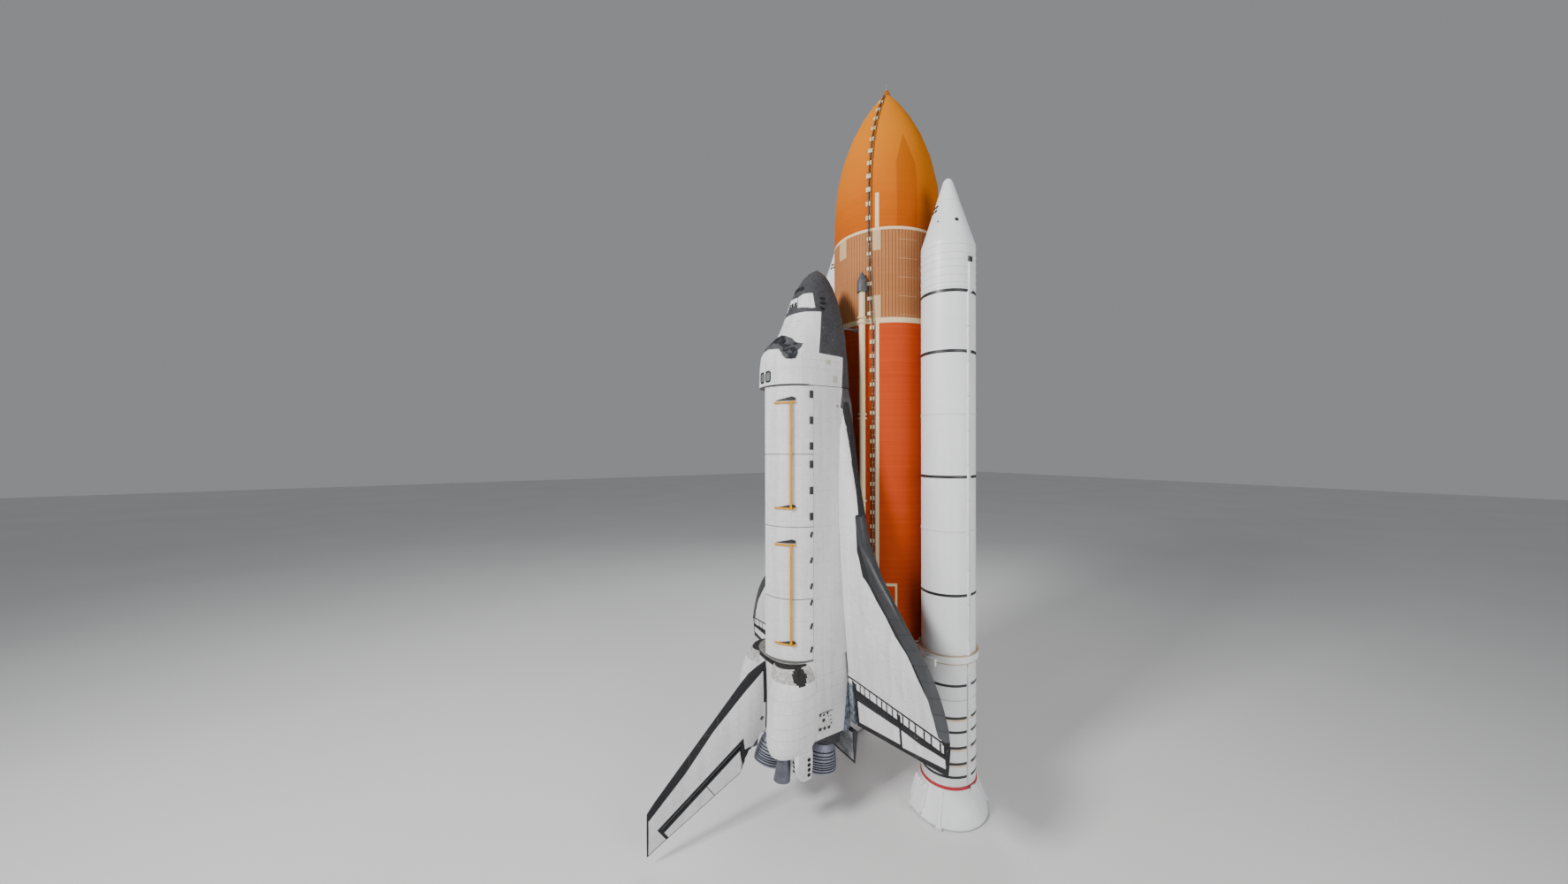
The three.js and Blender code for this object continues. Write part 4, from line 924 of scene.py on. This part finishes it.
middle_ports = orbiter_ports(module, 0.016, (300, 0, 397, 6.2), (346, 0, 414, 4.8))
settle_pair(joined("nose_ports", ports), "nose_ports", mouth, "black_tile")
settle(joined("nose_middle_ports", middle_ports), "vehicle", mouth, "black_tile")


# Forward fuselage and cabin: white tiles and blankets over the crew's cabin, black tiles below a line
# that steps down behind the nose. A dark joint runs round it where the payload bay begins.
def window_area(s):
    """The dark tiles round the cabin windows, between a front line and a rear one."""
    front = s.table(s.across, [(0, 434), (32, 443), (58, 453.4), (74, 466.7), (84.5, 469.7), (95, 472)])
    rear = s.table(s.across, [(0, 479), (45, 484), (58, 497), (65.4, 510), (80, 514), (84.5, 508),
                              (86, 470), (95, 468)])
    return (s.station > front) & (s.station < rear) & (s.height > 430)


def cabin_white(s):
    """White above a line that steps down seven feet behind the nose."""
    lowest = s.table(s.station, [(370, 370), (375, 371), (431, 382), (494, 393), (497, 311),
                                 (574, 318.5), (590, 320)])
    return (s.height > lowest) & (s.station > 376)


f = cabin_skin = skin("cabin_tiles", cabin_white, grime=0.3)
panels = ((f.station.near(401, 0.8) & f.across.between(0, 60))
          | (f.station.near(421, 0.8) & f.across.between(10, 50))
          | f.station.near(536, 0.7) | (f.height.near(441, 0.7) & (f.station > 500))
          | (f.station.near(513, 0.8) & (f.height < 441)) | (f.height.near(372, 0.7) & (f.station > 503)))
colour = f.mix((panels & (f.height > 322)) * 0.55, f.colour, (0.22, 0.20, 0.20))
tile_grey = f.mix(f.noise(3, 4), (0.045, 0.045, 0.050), (0.095, 0.095, 0.105))
colour = f.mix(window_area(f), colour, tile_grey)
olive = ((f.station.between(508, 522) & f.height.between(356, 370))
         | (f.station.between(551, 570) & f.height.between(334, 349)))
colour = f.mix((olive & (f.side > 60)) * 0.8, colour, (0.45, 0.45, 0.30))
dark_joint = (f.station > 578.5) & (f.height > 425)
f.paint(f.mix(dark_joint * 0.85, colour, (0.06, 0.035, 0.035)), f.relief, 0.003)
cabin = from_frame("forward_fuselage", "forward_fuselage_skin", 40)
side_ports = orbiter_ports(cabin, 0.006, (336, 68.8, 360.8, 4.4, 2.1), (349.5, 72.7, 361, 4.4, 2.1),
                           (364.5, 74.3, 377, 4.8, 1.2), (367, 77.8, 363.6, 4.6, 1.2))
settle(cabin, "vehicle", cabin_skin, "white_tile", "forward_fuselage")
settle_pair(joined("nose_side_ports", side_ports), "nose_side_ports", mouth, "black_tile")
f = hatch_skin = skin("hatch_tiles", all_white)
hatch_middle = tuple(on_orbiter(487, -100, 357))
reach = f.node("ShaderNodeVectorMath", {"operation": "DISTANCE"}, f.place, hatch_middle, output=1) / inch
window, ring = reach < 5.5, reach.between(17.4, 18.4)
f.paint(f.mix(window | (ring * 0.7), f.colour, (0.02, 0.022, 0.026)), f.relief, 0.003)
covered("crew_hatch", "crew_hatch_cover", hatch_skin, "white_tile", 40, "crew_hatch_body")
furnishing = clouded("cabin_furnishing", (0.20, 0.21, 0.22), (0.32, 0.33, 0.34), (8, 3), (30, 2),
                     roughness=0.6)
deck = from_frame("flight_deck", "flight_deck_floor")
edit(deck)
choose(deck, lambda centre, normal: normal.z > 0.9 and centre.y < on_orbiter(0, 0, 412).y)
bpy.ops.mesh.inset(thickness=0.02, depth=-0.01, use_individual=True)
settle(done(deck), "vehicle", furnishing, "cabin_grey", "flight_deck")


# Cabin windows: six panes of dark glass round the front of the cabin, in black frames and a grey tile
# surround. Behind them two green ones look up through the roof.
brow = covered("windshield", "window_surround", cabin_skin, "black_tile", 40)
overhead = from_frame("overhead_window_starboard", "overhead_glass", 40)
shell = joined("cabin_shell", [copied(piece, "shell") for piece in (cabin, brow, overhead)])
glass = clouded("dark_glass", (0.004, 0.005, 0.007), (0.016, 0.020, 0.024), (2.2, 3),
                roughness=0.5, gloss=0.3)
frame_finish = clouded("pane_frame", (0.012, 0.012, 0.013), (0.026, 0.026, 0.028), (20, 2), roughness=0.5)
green_glass = clouded("green_glass", (0.10, 0.125, 0.11), (0.20, 0.235, 0.20), (3, 3), roughness=0.3)


def scaled(outline, share):
    """An outline drawn larger or smaller about its middle."""
    middle = sum(outline, Vector()) / len(outline)
    return [middle + (point - middle) * share for point in outline]


pane_outlines = {
    "centre": orbiter_points((440, 4, 454), (458, 4, 475), (463, 15, 475.5), (467.6, 35, 476.1),
                             (455, 39, 462.5), (442.1, 23.9, 455.5)),
    "middle": orbiter_points((471.2, 39, 477.4), (458.7, 43.2, 464.5), (471.3, 75.8, 447.7),
                             (480, 53.3, 475.8)),
    "side": orbiter_points((484.4, 56.5, 476.6), (483, 76.5, 455), (494.8, 85.2, 451.9),
                           (510.5, 84, 457.9), (511.4, 69.9, 475.8), (501, 60.6, 481.4)),
}
panes, frames = [], []
for outline in pane_outlines.values():
    frames.append(plate_on("pane_frame", shell, scaled(outline, 1.12), 0.010, 0.03))
    panes.append(plate_on("pane", shell, outline, 0.014, 0.025))
settle_pair(joined("cabin_panes", panes), "cabin_panes", glass, "dark_glass")
settle_pair(joined("pane_frames", frames), "pane_frames", frame_finish, "black_tile")
outline = orbiter_points((540, 3, 502), (540, 29.5, 500), (570.5, 29.5, 500), (570.5, 3, 502))
overhead_frame = plate_on("overhead_frame", shell, outline, 0.012, 0.10)
overhead_pane = plate_on("overhead_pane", shell, scaled(outline, 0.70), 0.018, 0.07)
bpy.data.objects.remove(shell)
settle_pair(overhead, "overhead_seat", frame_finish, "black_tile", "overhead_window")
settle_pair(overhead_frame, "overhead_frame", frame_finish, "black_tile")
settle_pair(overhead_pane, "overhead_pane", green_glass, "dark_glass")


# Mid fuselage: the payload bay's trough. Outside it is white blanket above the wing and black tile
# below. Inside it is lined in pale cloth, with a row of aluminium frames across it.
def bay_white(s):
    """White inside the trough, and outside above the wing."""
    inside = (s.across < 93.5) & (s.height > 300)
    lowest = s.table(s.station, [(582, 319), (636, 326), (652, 300), (1307, 280)])
    return inside | (s.height > lowest)


f = bay_skin = skin("bay_tiles", bay_white, grime=0.3)
quilting = f.noise(1.0, 3, f.stretched(1.5, 1.5, 0.6), 0.5, 0.8)
panels = (f.station.lines(95.5, 0.8, 668) | f.height.near(372, 0.8)) & (f.across > 100)
socket = f.station.between(629, 637) & f.height.between(332, 340)
rivets = f.height.near(404, 1.0) & f.station.lines(9, 1.2)
colour = f.mix(quilting * 0.25, f.colour, (0.52, 0.50, 0.48))
f.paint(f.mix((panels * 0.35) | (rivets * 0.5) | (socket * 0.9), colour, (0.28, 0.27, 0.26)), f.relief, 0.003)
covered("mid_fuselage", "mid_fuselage_skin", bay_skin, "white_tile")
first_frame, frame_radius, frame_middle = 640, 90.2, 395
arc = []
for step in range(21):
    angle = math.radians(10 + 8 * step)
    side, drop = frame_radius * math.cos(angle), frame_radius * math.sin(angle)
    arc.append(on_orbiter(first_frame, side, frame_middle - drop))
frame_count, frame_spacing = 12, 56
bay_frames = [tube("bay_frame", arc, 2.4, 6)]
for step in range(1, frame_count):
    one = copied(bay_frames[0], "bay_frame")
    edit(one)
    bpy.ops.transform.translate(value=(0, 0, -frame_spacing * step * inch))
    bpy.ops.object.mode_set(mode="OBJECT")
    bay_frames.append(one)
frame_metal = clouded("bay_frame_metal", (0.30, 0.33, 0.28), (0.45, 0.47, 0.42), (8, 3),
                      roughness=0.5, metallic=0.3)
settle(joined("bay_frames", bay_frames), "vehicle", frame_metal, "white_tile")


# Payload bay doors: two long curved shells of carbon and honeycomb under white quilted blankets, with
# silvery radiators inside. Each hangs on a row of hinges under black seals. The port door stands open,
# thrown back over the port side, as the photograph shows it.
hinge_side, hinge_height, door_swing = 105.3, 414.5, 175.5
door_width, door_middle, door_rise = 104.5, 414.9, 87.1


def shut_door_place(f):
    """Side and height of a place on the open port door, as they are with the door shut."""
    out, rise = f.side + hinge_side, f.height - hinge_height
    cosine, sine = math.cos(math.radians(door_swing)), math.sin(math.radians(door_swing))
    return out * cosine + rise * sine - hinge_side, rise * cosine - out * sine + hinge_height


def door_cover(name, shut_place):
    """Blankets in panels with dark joints, scorched at the rear edge, and radiator strips inside."""
    f = skin(name, all_white, grime=0.28, tile=12, shut_place=shut_place)
    out, rise = f.side / door_width, (f.height - door_middle) / door_rise
    inner = out * out + rise * rise < 0.955
    joints = f.station.near_any((762.5, 952.8, 1141), 2.6) | (f.station < 584)
    rows = f.height.near(458, 1.4) & f.station.lines(11, 1.4)
    scorched = (f.station > 1301) & (f.noise(3, 3) > 0.25)
    colour = f.mix(joints * 0.8, f.colour, (0.10, 0.095, 0.09))
    colour = f.mix(rows * 0.45, colour, (0.25, 0.24, 0.23))
    colour = f.mix(scorched * 0.85, colour, (0.045, 0.040, 0.038))
    radiator = f.mix(f.station.lines(7.5, 0.8), (0.55, 0.57, 0.60), (0.34, 0.35, 0.37))
    return f.paint(f.mix(inner, colour, radiator), f.relief, 0.003, roughness=0.72 - inner * 0.42)


def on_door(station, degrees):
    """A place on the starboard door when shut: degrees up from its hinge."""
    angle = math.radians(degrees)
    return on_orbiter(station, door_width * math.cos(angle), door_middle + door_rise * math.sin(angle))


seal_side, seal_height = 104.6, 420.5
seals = [block("hinge_seal", on_orbiter(station, seal_side, seal_height), (0.9, 11, 20), 0.004)
         for station in (605.5, 673.6, 741, 789, 857.5, 925.7)]
for station in (973, 1040.5, 1108.5, 1151.2, 1213.2, 1274.6):
    for shift, rise in ((-3.4, -1.2), (3.4, 1.2)):
        middle = on_orbiter(station + shift, seal_side, seal_height + rise)
        seals.append(block("hinge_seal", middle, (0.9, 6.8, 8.4), 0.004))
whole_door = from_frame("payload_door_starboard", "whole_door")
for station in (625, 906, 997, 1261):
    wedge = [on_door(station - 3, degrees) for degrees in (64, 56, 48, 40, 31)]
    wedge += [on_door(station - rise, degrees) for rise, degrees in ((10, 31), (13, 37), (9, 48), (5.5, 58))]
    seals.append(plate_on("beam_clamp", whole_door, wedge, 0.03))
bpy.data.objects.remove(whole_door)
seals = joined("door_hinge_seals_starboard", seals)
port_seals = mirrored(seals, "door_hinge_seals_port")
turned_about(port_seals, on_orbiter(640, -hinge_side, hinge_height), door_swing)
for hand, hinge_seals, shut_place in (("starboard", seals, None), ("port", port_seals, shut_door_place)):
    node = f"payload_door_{hand}"
    cover = door_cover(f"door_blankets_{hand}", shut_place)
    covered(node, node + "_shell", cover, "white_blanket", 30, node + "_body")
    settle(hinge_seals, node + "_body", frame_finish, "black_tile")


# Lifting beams: two steel bars to each door, painted yellow and bolted to it on curved feet. They stay on
# while the vehicle stands on show.
f = yellow = Finish("yellow_paint", roughness=0.5, gloss=0.3)
wear = f.noise(22, 4, low=0.60, high=0.68)
coat = f.mix(f.noise(2, 3), (0.56, 0.245, 0.008), (0.68, 0.320, 0.015))
f.paint(f.mix(wear * 0.5, coat, (0.25, 0.15, 0.05)))
for hand in ("starboard", "port"):
    for run in ("forward", "aft"):
        covered(f"door_beam_{run}_{hand}", f"lifting_beam_{run}_{hand}", yellow, "yellow_steel", 30,
                f"payload_door_{hand}_body")


# Wings: tiles over aluminium boxes, off-white above and black below. The black runs up over the front of
# the glove, and a row of white cells between black lines covers the elevon joint.
edge_of_white = [
    (600, 96), (645, 104.9), (686, 111.7), (735, 119.4), (783, 127.7), (830, 140), (870, 150), (922, 162),
    (926, 157), (968, 163.7), (1017.5, 170.4), (1035, 178), (1078, 192.5), (1102, 220), (1129, 245.7),
    (1159, 278.2), (1194, 309.7), (1226, 349.3), (1301, 411.8), (1324, 427.3), (1368, 446.8), (1400, 459)]


def wing_white(s):
    """White on top behind the front edge, apart from the elevon joint, the tips and the rear edge."""
    s.white_edge = s.table(s.station, edge_of_white)
    dark_to = s.table(s.across, [(122, 1434), (142, 1431), (221, 1426), (308, 1420), (382, 1420),
                                 (411, 1416), (466, 1411)])
    tail_dark = s.table(s.across, [(122, 1494), (149, 1489), (213, 1477), (306, 1460), (318, 1462),
                                   (378, 1449), (466, 1430)])
    top = (s.facing_back > 0.12) & (s.across < s.white_edge)
    ends = s.across.near(312, 8) | (s.across > 456) | s.across.between(126, 139)
    behind = (s.station > tail_dark) | s.station.between(1405, dark_to) | (ends & (s.station > 1385))
    return top & ~behind


def mottled_metal(f):
    """Blue-grey metal in soft mottles, bare of tiles."""
    return f.mix(f.noise(7, 4, low=0.42, high=0.58), (0.10, 0.125, 0.16), (0.30, 0.33, 0.37))


f = wing_skin = skin("wing_tiles", wing_white, grime=0.3, dark=0.35)
cell_sides = (156, 175, 197, 226, 246, 265, 287, 305.5, 324, 346, 367, 395, 417, 444, 456)
cell_lines = ((f.across.near_any(cell_sides, 5) & f.station.between(1376.5, 1405))
              | f.station.near(1376.5, 5) | f.station.near(1403, 6))
inset = f.white_edge - f.across
edge_seam = (inset.near(96, 1.4) | (inset.near(88, 3.0) & f.station.lines(15, 3.0))) & (f.station > 1110)
spars = (f.station.lines(58, 0.9, 1191) | f.across.near_any((167, 254, 354), 0.8)) & (inset > 4)
tiled = f.mix((edge_seam * 0.55) | (spars * 0.28), f.colour, (0.24, 0.22, 0.20))
tiled = f.mix(cell_lines & (f.facing_back > 0.12), tiled, (0.012, 0.012, 0.013))
stub = (f.across < 123) & (f.station > 1392) & (f.facing_back > -0.5)
f.paint(f.mix(stub, tiled, mottled_metal(f)), f.relief, 0.003)

# The edge runs at one sweep along the glove and at another along the outer wing, and the joints of its
# carbon shells stand square to it.
f = edge_carbon = Finish("edge_carbon", roughness=0.48)
across = abs(f.side)
along = f.node("ShaderNodeMath", {"operation": "MINIMUM"}, (f.station - 1050) * 0.97 + (across - 210) * 0.2,
               (f.station - 1050) * 0.726 + (across - 220) * 0.688)
joint_lines = along.lines(31, 1.4)
paler = f.table(across, [(150, 0.0), (300, 0.1), (400, 0.3), (470, 0.65)])
grey = f.mix(f.noise(1.6, 4), (0.015, 0.0155, 0.017), (0.030, 0.031, 0.034))
grey = f.mix(paler, grey, (0.085, 0.087, 0.093))
f.paint(f.mix(joint_lines * 0.8, grey, (0.02, 0.02, 0.022)), 1 - joint_lines, 0.006)
for hand in ("starboard", "port"):
    covered(f"wing_{hand}", f"wing_skin_{hand}", wing_skin, "white_tile", 35)
    covered(f"wing_leading_edge_{hand}", f"wing_edge_{hand}", edge_carbon, "carbon", 50)


# Elevons: two control surfaces on each wing, of aluminium under tiles like the wing's. Each is hinged in
# a round groove along the wing's rear edge.
for part in ("inboard", "outboard"):
    for hand in ("starboard", "port"):
        node = f"elevon_{part}_{hand}"
        covered(node, f"{node}_skin", wing_skin, "white_tile", 30, node + "_body")


# Aft fuselage: white tiles on the sides, black below and behind. Each side has a square service plate
# with rows of fluid couplings, and the three engines stand in black domes.
def aft_white(s):
    """White on the sides and the shoulders, down to the belly's edge."""
    shoulder = (s.facing_back > 0.5) | ((s.facing_side > 0.35) & (s.across > 60))
    return shoulder & (s.height > 285) & (s.station < 1517)


def burnt_tiles(f):
    """Near-black tiles five inches square."""
    return f.mix(f.cells(5, 5, 5), (0.008, 0.008, 0.008), (0.026, 0.024, 0.023))


f = aft_skin = skin("aft_tiles", aft_white, grime=0.45)
panels = (f.station.near_any((1351, 1389), 0.9) | f.station.near(1440, 0.7) | f.height.near(408, 0.8)
          | (f.height.near(358, 0.8) & (f.station < 1452)))
colour = f.mix((panels & (f.facing_side > 0.5)) * 0.5, f.colour, (0.22, 0.21, 0.20))
rim = f.station.between(1307.5, 1321) & (f.height > 404)
colour = f.mix(rim & (f.facing_side < 0.9), colour, burnt_tiles(f))
bulkhead = (f.parts(f.facing)[2] > 0.6) & (f.station < 1330)
primer = f.mix(f.noise(4, 3), (0.17, 0.165, 0.145), (0.27, 0.265, 0.235))
primer = f.mix(f.side.lines(22, 1.2) | f.height.lines(22, 1.2), primer, (0.10, 0.10, 0.09))
colour = f.mix(bulkhead, colour, primer)
plate_area = f.station.between(1448.5, 1498.5) & f.height.between(356, 402) & (f.across > 108)
plate_colour = f.mix(f.noise(6, 3), (0.66, 0.65, 0.63), (0.78, 0.77, 0.76))
dots = (f.station.lines(4.2, 1.7, 1453) & f.height.lines(4.2, 1.7, 361)) & f.station.between(1473, 1491)
plate_colour = f.mix(dots * 0.8, plate_colour, (0.05, 0.05, 0.05))
bare = (f.station > 1392) & (f.height < 301 + (f.station - 1392) * 0.14) & (f.facing_side > 0.3)
colour = f.mix(bare, colour, mottled_metal(f))
f.paint(f.mix(plate_area & (f.facing_side > 0.5), colour, plate_colour), f.relief, 0.003)
aft = from_frame("aft_fuselage", "aft_fuselage_skin", 35)
couplings = orbiter_ports(
    aft, 0.004, (1489, 111, 397.6, 4.6), (1490, 111, 384, 4.6), (1491, 111, 369.9, 4.6),
    (1467.6, 111, 386.8, 5.0), (1462, 111, 372, 2.0), (1462, 111, 364, 2.0), (1472, 111, 364, 2.0),
    (1482, 111, 362.5, 2.4))
for middle in orbiter_points((1452.6, 110.7, 397), (1454, 110.7, 386), (1452.6, 110.7, 374)):
    couplings.append(block("cover", middle, (1, 6, 6), 0.004))
settle(aft, "vehicle", aft_skin, "white_tile", "aft_fuselage")
settle_pair(joined("service_couplings", couplings), "service_couplings", port_finish, "grey_metal")


# Main engines: open bells of brazed steel tubes, blued by heat and stiffened by hoops. Each swings on a
# ball joint in its dome, and thin drain lines run down the outside.
hoops = (107, 115.5, 122.3, 129.6, 135, 141, 145.7, 152)


def bell_radius(reach):
    """The bell's radius at a distance from its gimbal, both in inches."""
    rows = [(89.08, 33), (112, 40.2), (134, 44.3), (157, 47)]
    for (low, first), (high, second) in zip(rows, rows[1:]):
        if reach <= high:
            return first + (second - first) * (reach - low) / (high - low)


def hung_bell(name, rows, gimbal, pitch, splay, sides, angle):
    """A bell drawn upright with its mouth down, then tilted and carried to its gimbal. Rows are the
    distance from the gimbal and the radius."""
    bell = turned(name, (0, 0), [(-reach * inch, radius * inch) for reach, radius in rows], sides, angle)
    bell.rotation_euler = (-math.radians(pitch), -math.radians(splay), 0)
    bell.location = on_orbiter(*gimbal)
    return done(bell, name, angle)


def engine_bell(name, gimbal, pitch, splay):
    """A main engine's bell, with a raised hoop at each of its stiffeners."""
    rows = [(95, 1), (93.6, 16.5), (89.08, 33)]
    for reach in hoops:
        top = bell_radius(reach) + 0.55
        rows += [(reach - 1.1, bell_radius(reach - 1.1)), (reach - 0.7, top), (reach + 0.7, top),
                 (reach + 1.1, bell_radius(reach + 1.1))]
    rows += [(156, 46.8), (157, 47), (157, 45.6), (134, 42.1), (112, 37.2), (103, 31), (100, 24), (99, 4)]
    return hung_bell(name, rows, gimbal, pitch, splay, 72, 35)


def bell_metal(name, gimbal, pitch, splay):
    """Fine upright tubes, paler and bluer towards the mouth, and dark hoops."""
    f = Finish(name, roughness=0.5, metallic=0.45)
    tilt, turn_out = math.radians(pitch), math.radians(splay)
    reach = ((f.station - gimbal[0]) * (math.cos(tilt) * math.cos(turn_out))
             + (f.side - gimbal[1]) * (math.cos(tilt) * math.sin(turn_out))
             + (f.height - gimbal[2]) * math.sin(tilt))
    tubes = f.noise(1.0, 2, f.stretched(34, 34, 0.5))
    heat = f.table(reach, [(88, 0.1), (105, 0.4), (130, 0.8), (157, 1.0)])
    steel = f.mix(tubes, (0.21, 0.225, 0.29), (0.31, 0.325, 0.40))
    steel = f.mix(heat * 0.5, steel, (0.32, 0.34, 0.42))
    steel = f.mix(f.noise(2.2, 4, low=0.5, high=0.8) * 0.4, steel, (0.20, 0.17, 0.15))
    return f.paint(f.mix(reach.near_any(hoops, 3.0), steel, (0.012, 0.012, 0.013)), tubes, 0.003)


drain_points = {
    "forward_drain": orbiter_points((1562.8, 93.1, 372), (1567.8, 93.5, 377.5), (1577.2, 96.6, 379.7),
                                    (1580.9, 91.3, 390.7), (1596.6, 100.7, 385.4), (1612.7, 104, 387.7)),
    "rear_drain": orbiter_points((1569.8, 96.2, 354.1), (1592.9, 103.2, 359.1), (1613.5, 107.2, 362)),
}
# columns: which engine, its gimbal's station, side and height, and its tilts to the back and outwards
engines = [("upper", (1445, 0, 443), 16, 0), ("port", (1468.2, -53, 342.6), 10, -3.5),
           ("starboard", (1468.2, 53, 342.6), 10, 3.5)]
for hand, gimbal, pitch, splay in engines:
    node = f"main_engine_{hand}"
    bell = engine_bell(f"{node}_bell", gimbal, pitch, splay)
    settle(bell, node + "_body", bell_metal(f"{node}_steel", gimbal, pitch, splay), "bell_metal", node)

drain_metal = clouded("drain_line_metal", (0.035, 0.035, 0.037), (0.08, 0.08, 0.085), (30, 2),
                      roughness=0.5, metallic=0.4)
drains = [tube(name, [bell.closest_point_on_mesh(point)[1] for point in points], 0.55, 6)
          for name, points in drain_points.items()]
drain_lines = joined("drain_lines_starboard", drains)
port_drain_lines = mirrored(drain_lines, "drain_lines_port")
settle(drain_lines, "main_engine_starboard_body", drain_metal, "grey_metal")
settle(port_drain_lines, "main_engine_port_body", drain_metal, "grey_metal")


# Body flap: a broad flat tail of aluminium, hinged under the engines. It is black tile below and bare
# mottled metal above.
f = flap_skin = skin("flap_tiles", all_black)
mottled = f.mix(f.noise(3, 4, low=0.40, high=0.60), (0.24, 0.25, 0.27), (0.52, 0.53, 0.54))
top = (f.facing_back > 0.3) & (f.across < 116) & f.station.between(1529, 1606)
f.paint(f.mix(top, f.black, mottled), f.relief, 0.003)
covered("body_flap", "body_flap_skin", flap_skin, "black_tile", 30, "body_flap_body")


# Manoeuvring pods: two long humps bolted on the shoulders of the aft fuselage, under smooth white
# blankets, with brown weathered tiles in front. Each has a bell, and a square housing that carries the
# small thrusters' mouths.
f = pod_skin = skin("pod_blankets", all_white, grime=0.22, tile=8)
front = f.station < 1344 - (f.height - 480) * 0.10
dirty = f.mix(f.cells(7, 7, 7) * 0.5 + f.noise(5, 3) * 0.5, (0.28, 0.26, 0.25), (0.70, 0.68, 0.67))
dirty = f.mix(f.gaps * 0.7, dirty, (0.13, 0.10, 0.085))
seams = (f.station.near_any((1380, 1472), 1.3) | f.station.near_any((1409, 1444, 1513), 1.1)
         | f.height.near(497, 0.8))
colour = f.mix(seams * 0.4, f.colour, (0.26, 0.25, 0.24))
colour = f.mix(front, colour, dirty)
along, rise = (f.station / 5).math("FLOOR") * 5 - 1327, (f.height / 5).math("FLOOR") * 5 - 464
patch = (along * along * 0.9 + rise * rise < 380) & (f.across > 100)
colour = f.mix(patch | (f.station < 1312), colour, burnt_tiles(f))
housing = (f.station > 1520) & (f.across > 112)
colour = f.mix(housing * f.noise(3, 4) * 0.5, colour, (0.50, 0.49, 0.48))
rear_faces = (f.station > 1586.5) | ((f.station > 1521) & (f.across < 112))
f.paint(f.mix(rear_faces, colour, (0.05, 0.05, 0.052)), f.relief, 0.0015)
pod = from_frame("manoeuvring_pod_starboard", "manoeuvring_pod", 40)
mouths = orbiter_ports(
    pod, 0.004, (1533, 140, 452, 4.8), (1546, 140, 452, 4.8), (1558.5, 140, 452, 4.8),
    (1572, 140, 452, 4.8), (1535, 126.5, 489, 4.2), (1544.5, 127.5, 489, 4.2), (1555.5, 127.5, 489, 4.2))
settle_pair(pod, "manoeuvring_pod_skin", pod_skin, "white_blanket", "manoeuvring_pod")
settle_pair(joined("pod_thruster_mouths", mouths), "pod_thruster_mouths", mouth, "black_tile")
pod_rows = [(5.9, 14.4), (12, 15.0), (20, 15.9), (33.9, 17.9), (50, 19.4), (62, 20.5), (70, 21.2),
            (73, 21.5), (73, 20.4), (50, 18.2), (33.9, 16.6), (16, 11), (13, 3)]
pod_bell = hung_bell("pod_engine_bell", pod_rows, (1520, 88, 491), 10, 3, 56, 30)
pod_metal = clouded("pod_bell_metal", (0.10, 0.105, 0.13), (0.17, 0.175, 0.21), (3, 4), (30, 2),
                    roughness=0.45, metallic=0.6)
settle_pair(pod_bell, "pod_engine_bell", pod_metal, "bell_metal", "pod_nozzle")


# Fin and rudder: white tiles edged in black along the front, the tip and the hinge. The rudder is two
# panels on one spindle that turn together, or part as a brake. Its hinge rises from a station and a
# height, and leans back by these shares of its length.
hinge_start, hinge_foot = 1522, 580
hinge_rise, hinge_lean = 0.833, 0.553


def fin_white(s):
    """White apart from the front edge, the tip, the root, the hinge line and the rudder's edges."""
    front = s.table(s.height, [(500, 1340), (512, 1346), (562, 1385), (651.5, 1464), (724, 1544),
                               (810, 1623), (820, 1632)])
    back, rise = s.station - hinge_start, s.height - hinge_foot
    behind = back * hinge_rise - rise * hinge_lean
    upward = back * hinge_lean + rise * hinge_rise
    above_foot = rise + back / 6
    hinge = behind.between(-8, 13) & (s.height > 572) & (upward < 250)
    head = upward.between(243.5, 250) & (behind > -8)
    foot = above_foot.between(-12, 3) & (behind > -8)
    rear = s.table(s.height, [(577, 1599), (800, 1701), (816, 1709)])
    edge = (s.station > rear - 2.2) & (s.height > 575)
    # The dark root is the gap where the fin meets the body, with painted shade in it.
    root = ((s.height < 506) | ((s.height < 512) & (s.station < 1430))
            | ((s.station > 1540) & (s.height < 575)))
    tip, panel_joint = s.height > 812.5, upward.near(116.5, 2.0) & (behind > 8)
    dark = hinge | head | foot | edge | root | tip | panel_joint
    return (s.station > front) & ~dark


f = fin_skin = skin("fin_tiles", fin_white, grime=0.25, dark=0.35)
panels = f.station.near(1469, 0.8) | f.height.near(640, 0.8) | f.height.near(715, 0.7)
mark = (abs(f.station - 1470) + abs(f.height - 517)) < 7
colour = f.mix(panels * 0.25, f.colour, (0.30, 0.29, 0.28))
f.paint(f.mix(mark * 0.9, colour, (0.03, 0.03, 0.03)), f.relief, 0.003)
covered("vertical_fin", "vertical_fin_skin", fin_skin, "white_tile")
spindle_metal = clouded("spindle_metal", (0.05, 0.05, 0.052), (0.10, 0.10, 0.105), (9, 3),
                        roughness=0.4, metallic=0.6)
covered("rudder_spindle", "rudder_spindle_bar", spindle_metal, "black_tile", 40, "rudder_body")
for hand in ("starboard", "port"):
    node = f"rudder_panel_{hand}"
    covered(node, node + "_skin", fin_skin, "white_tile", 30, node + "_body")
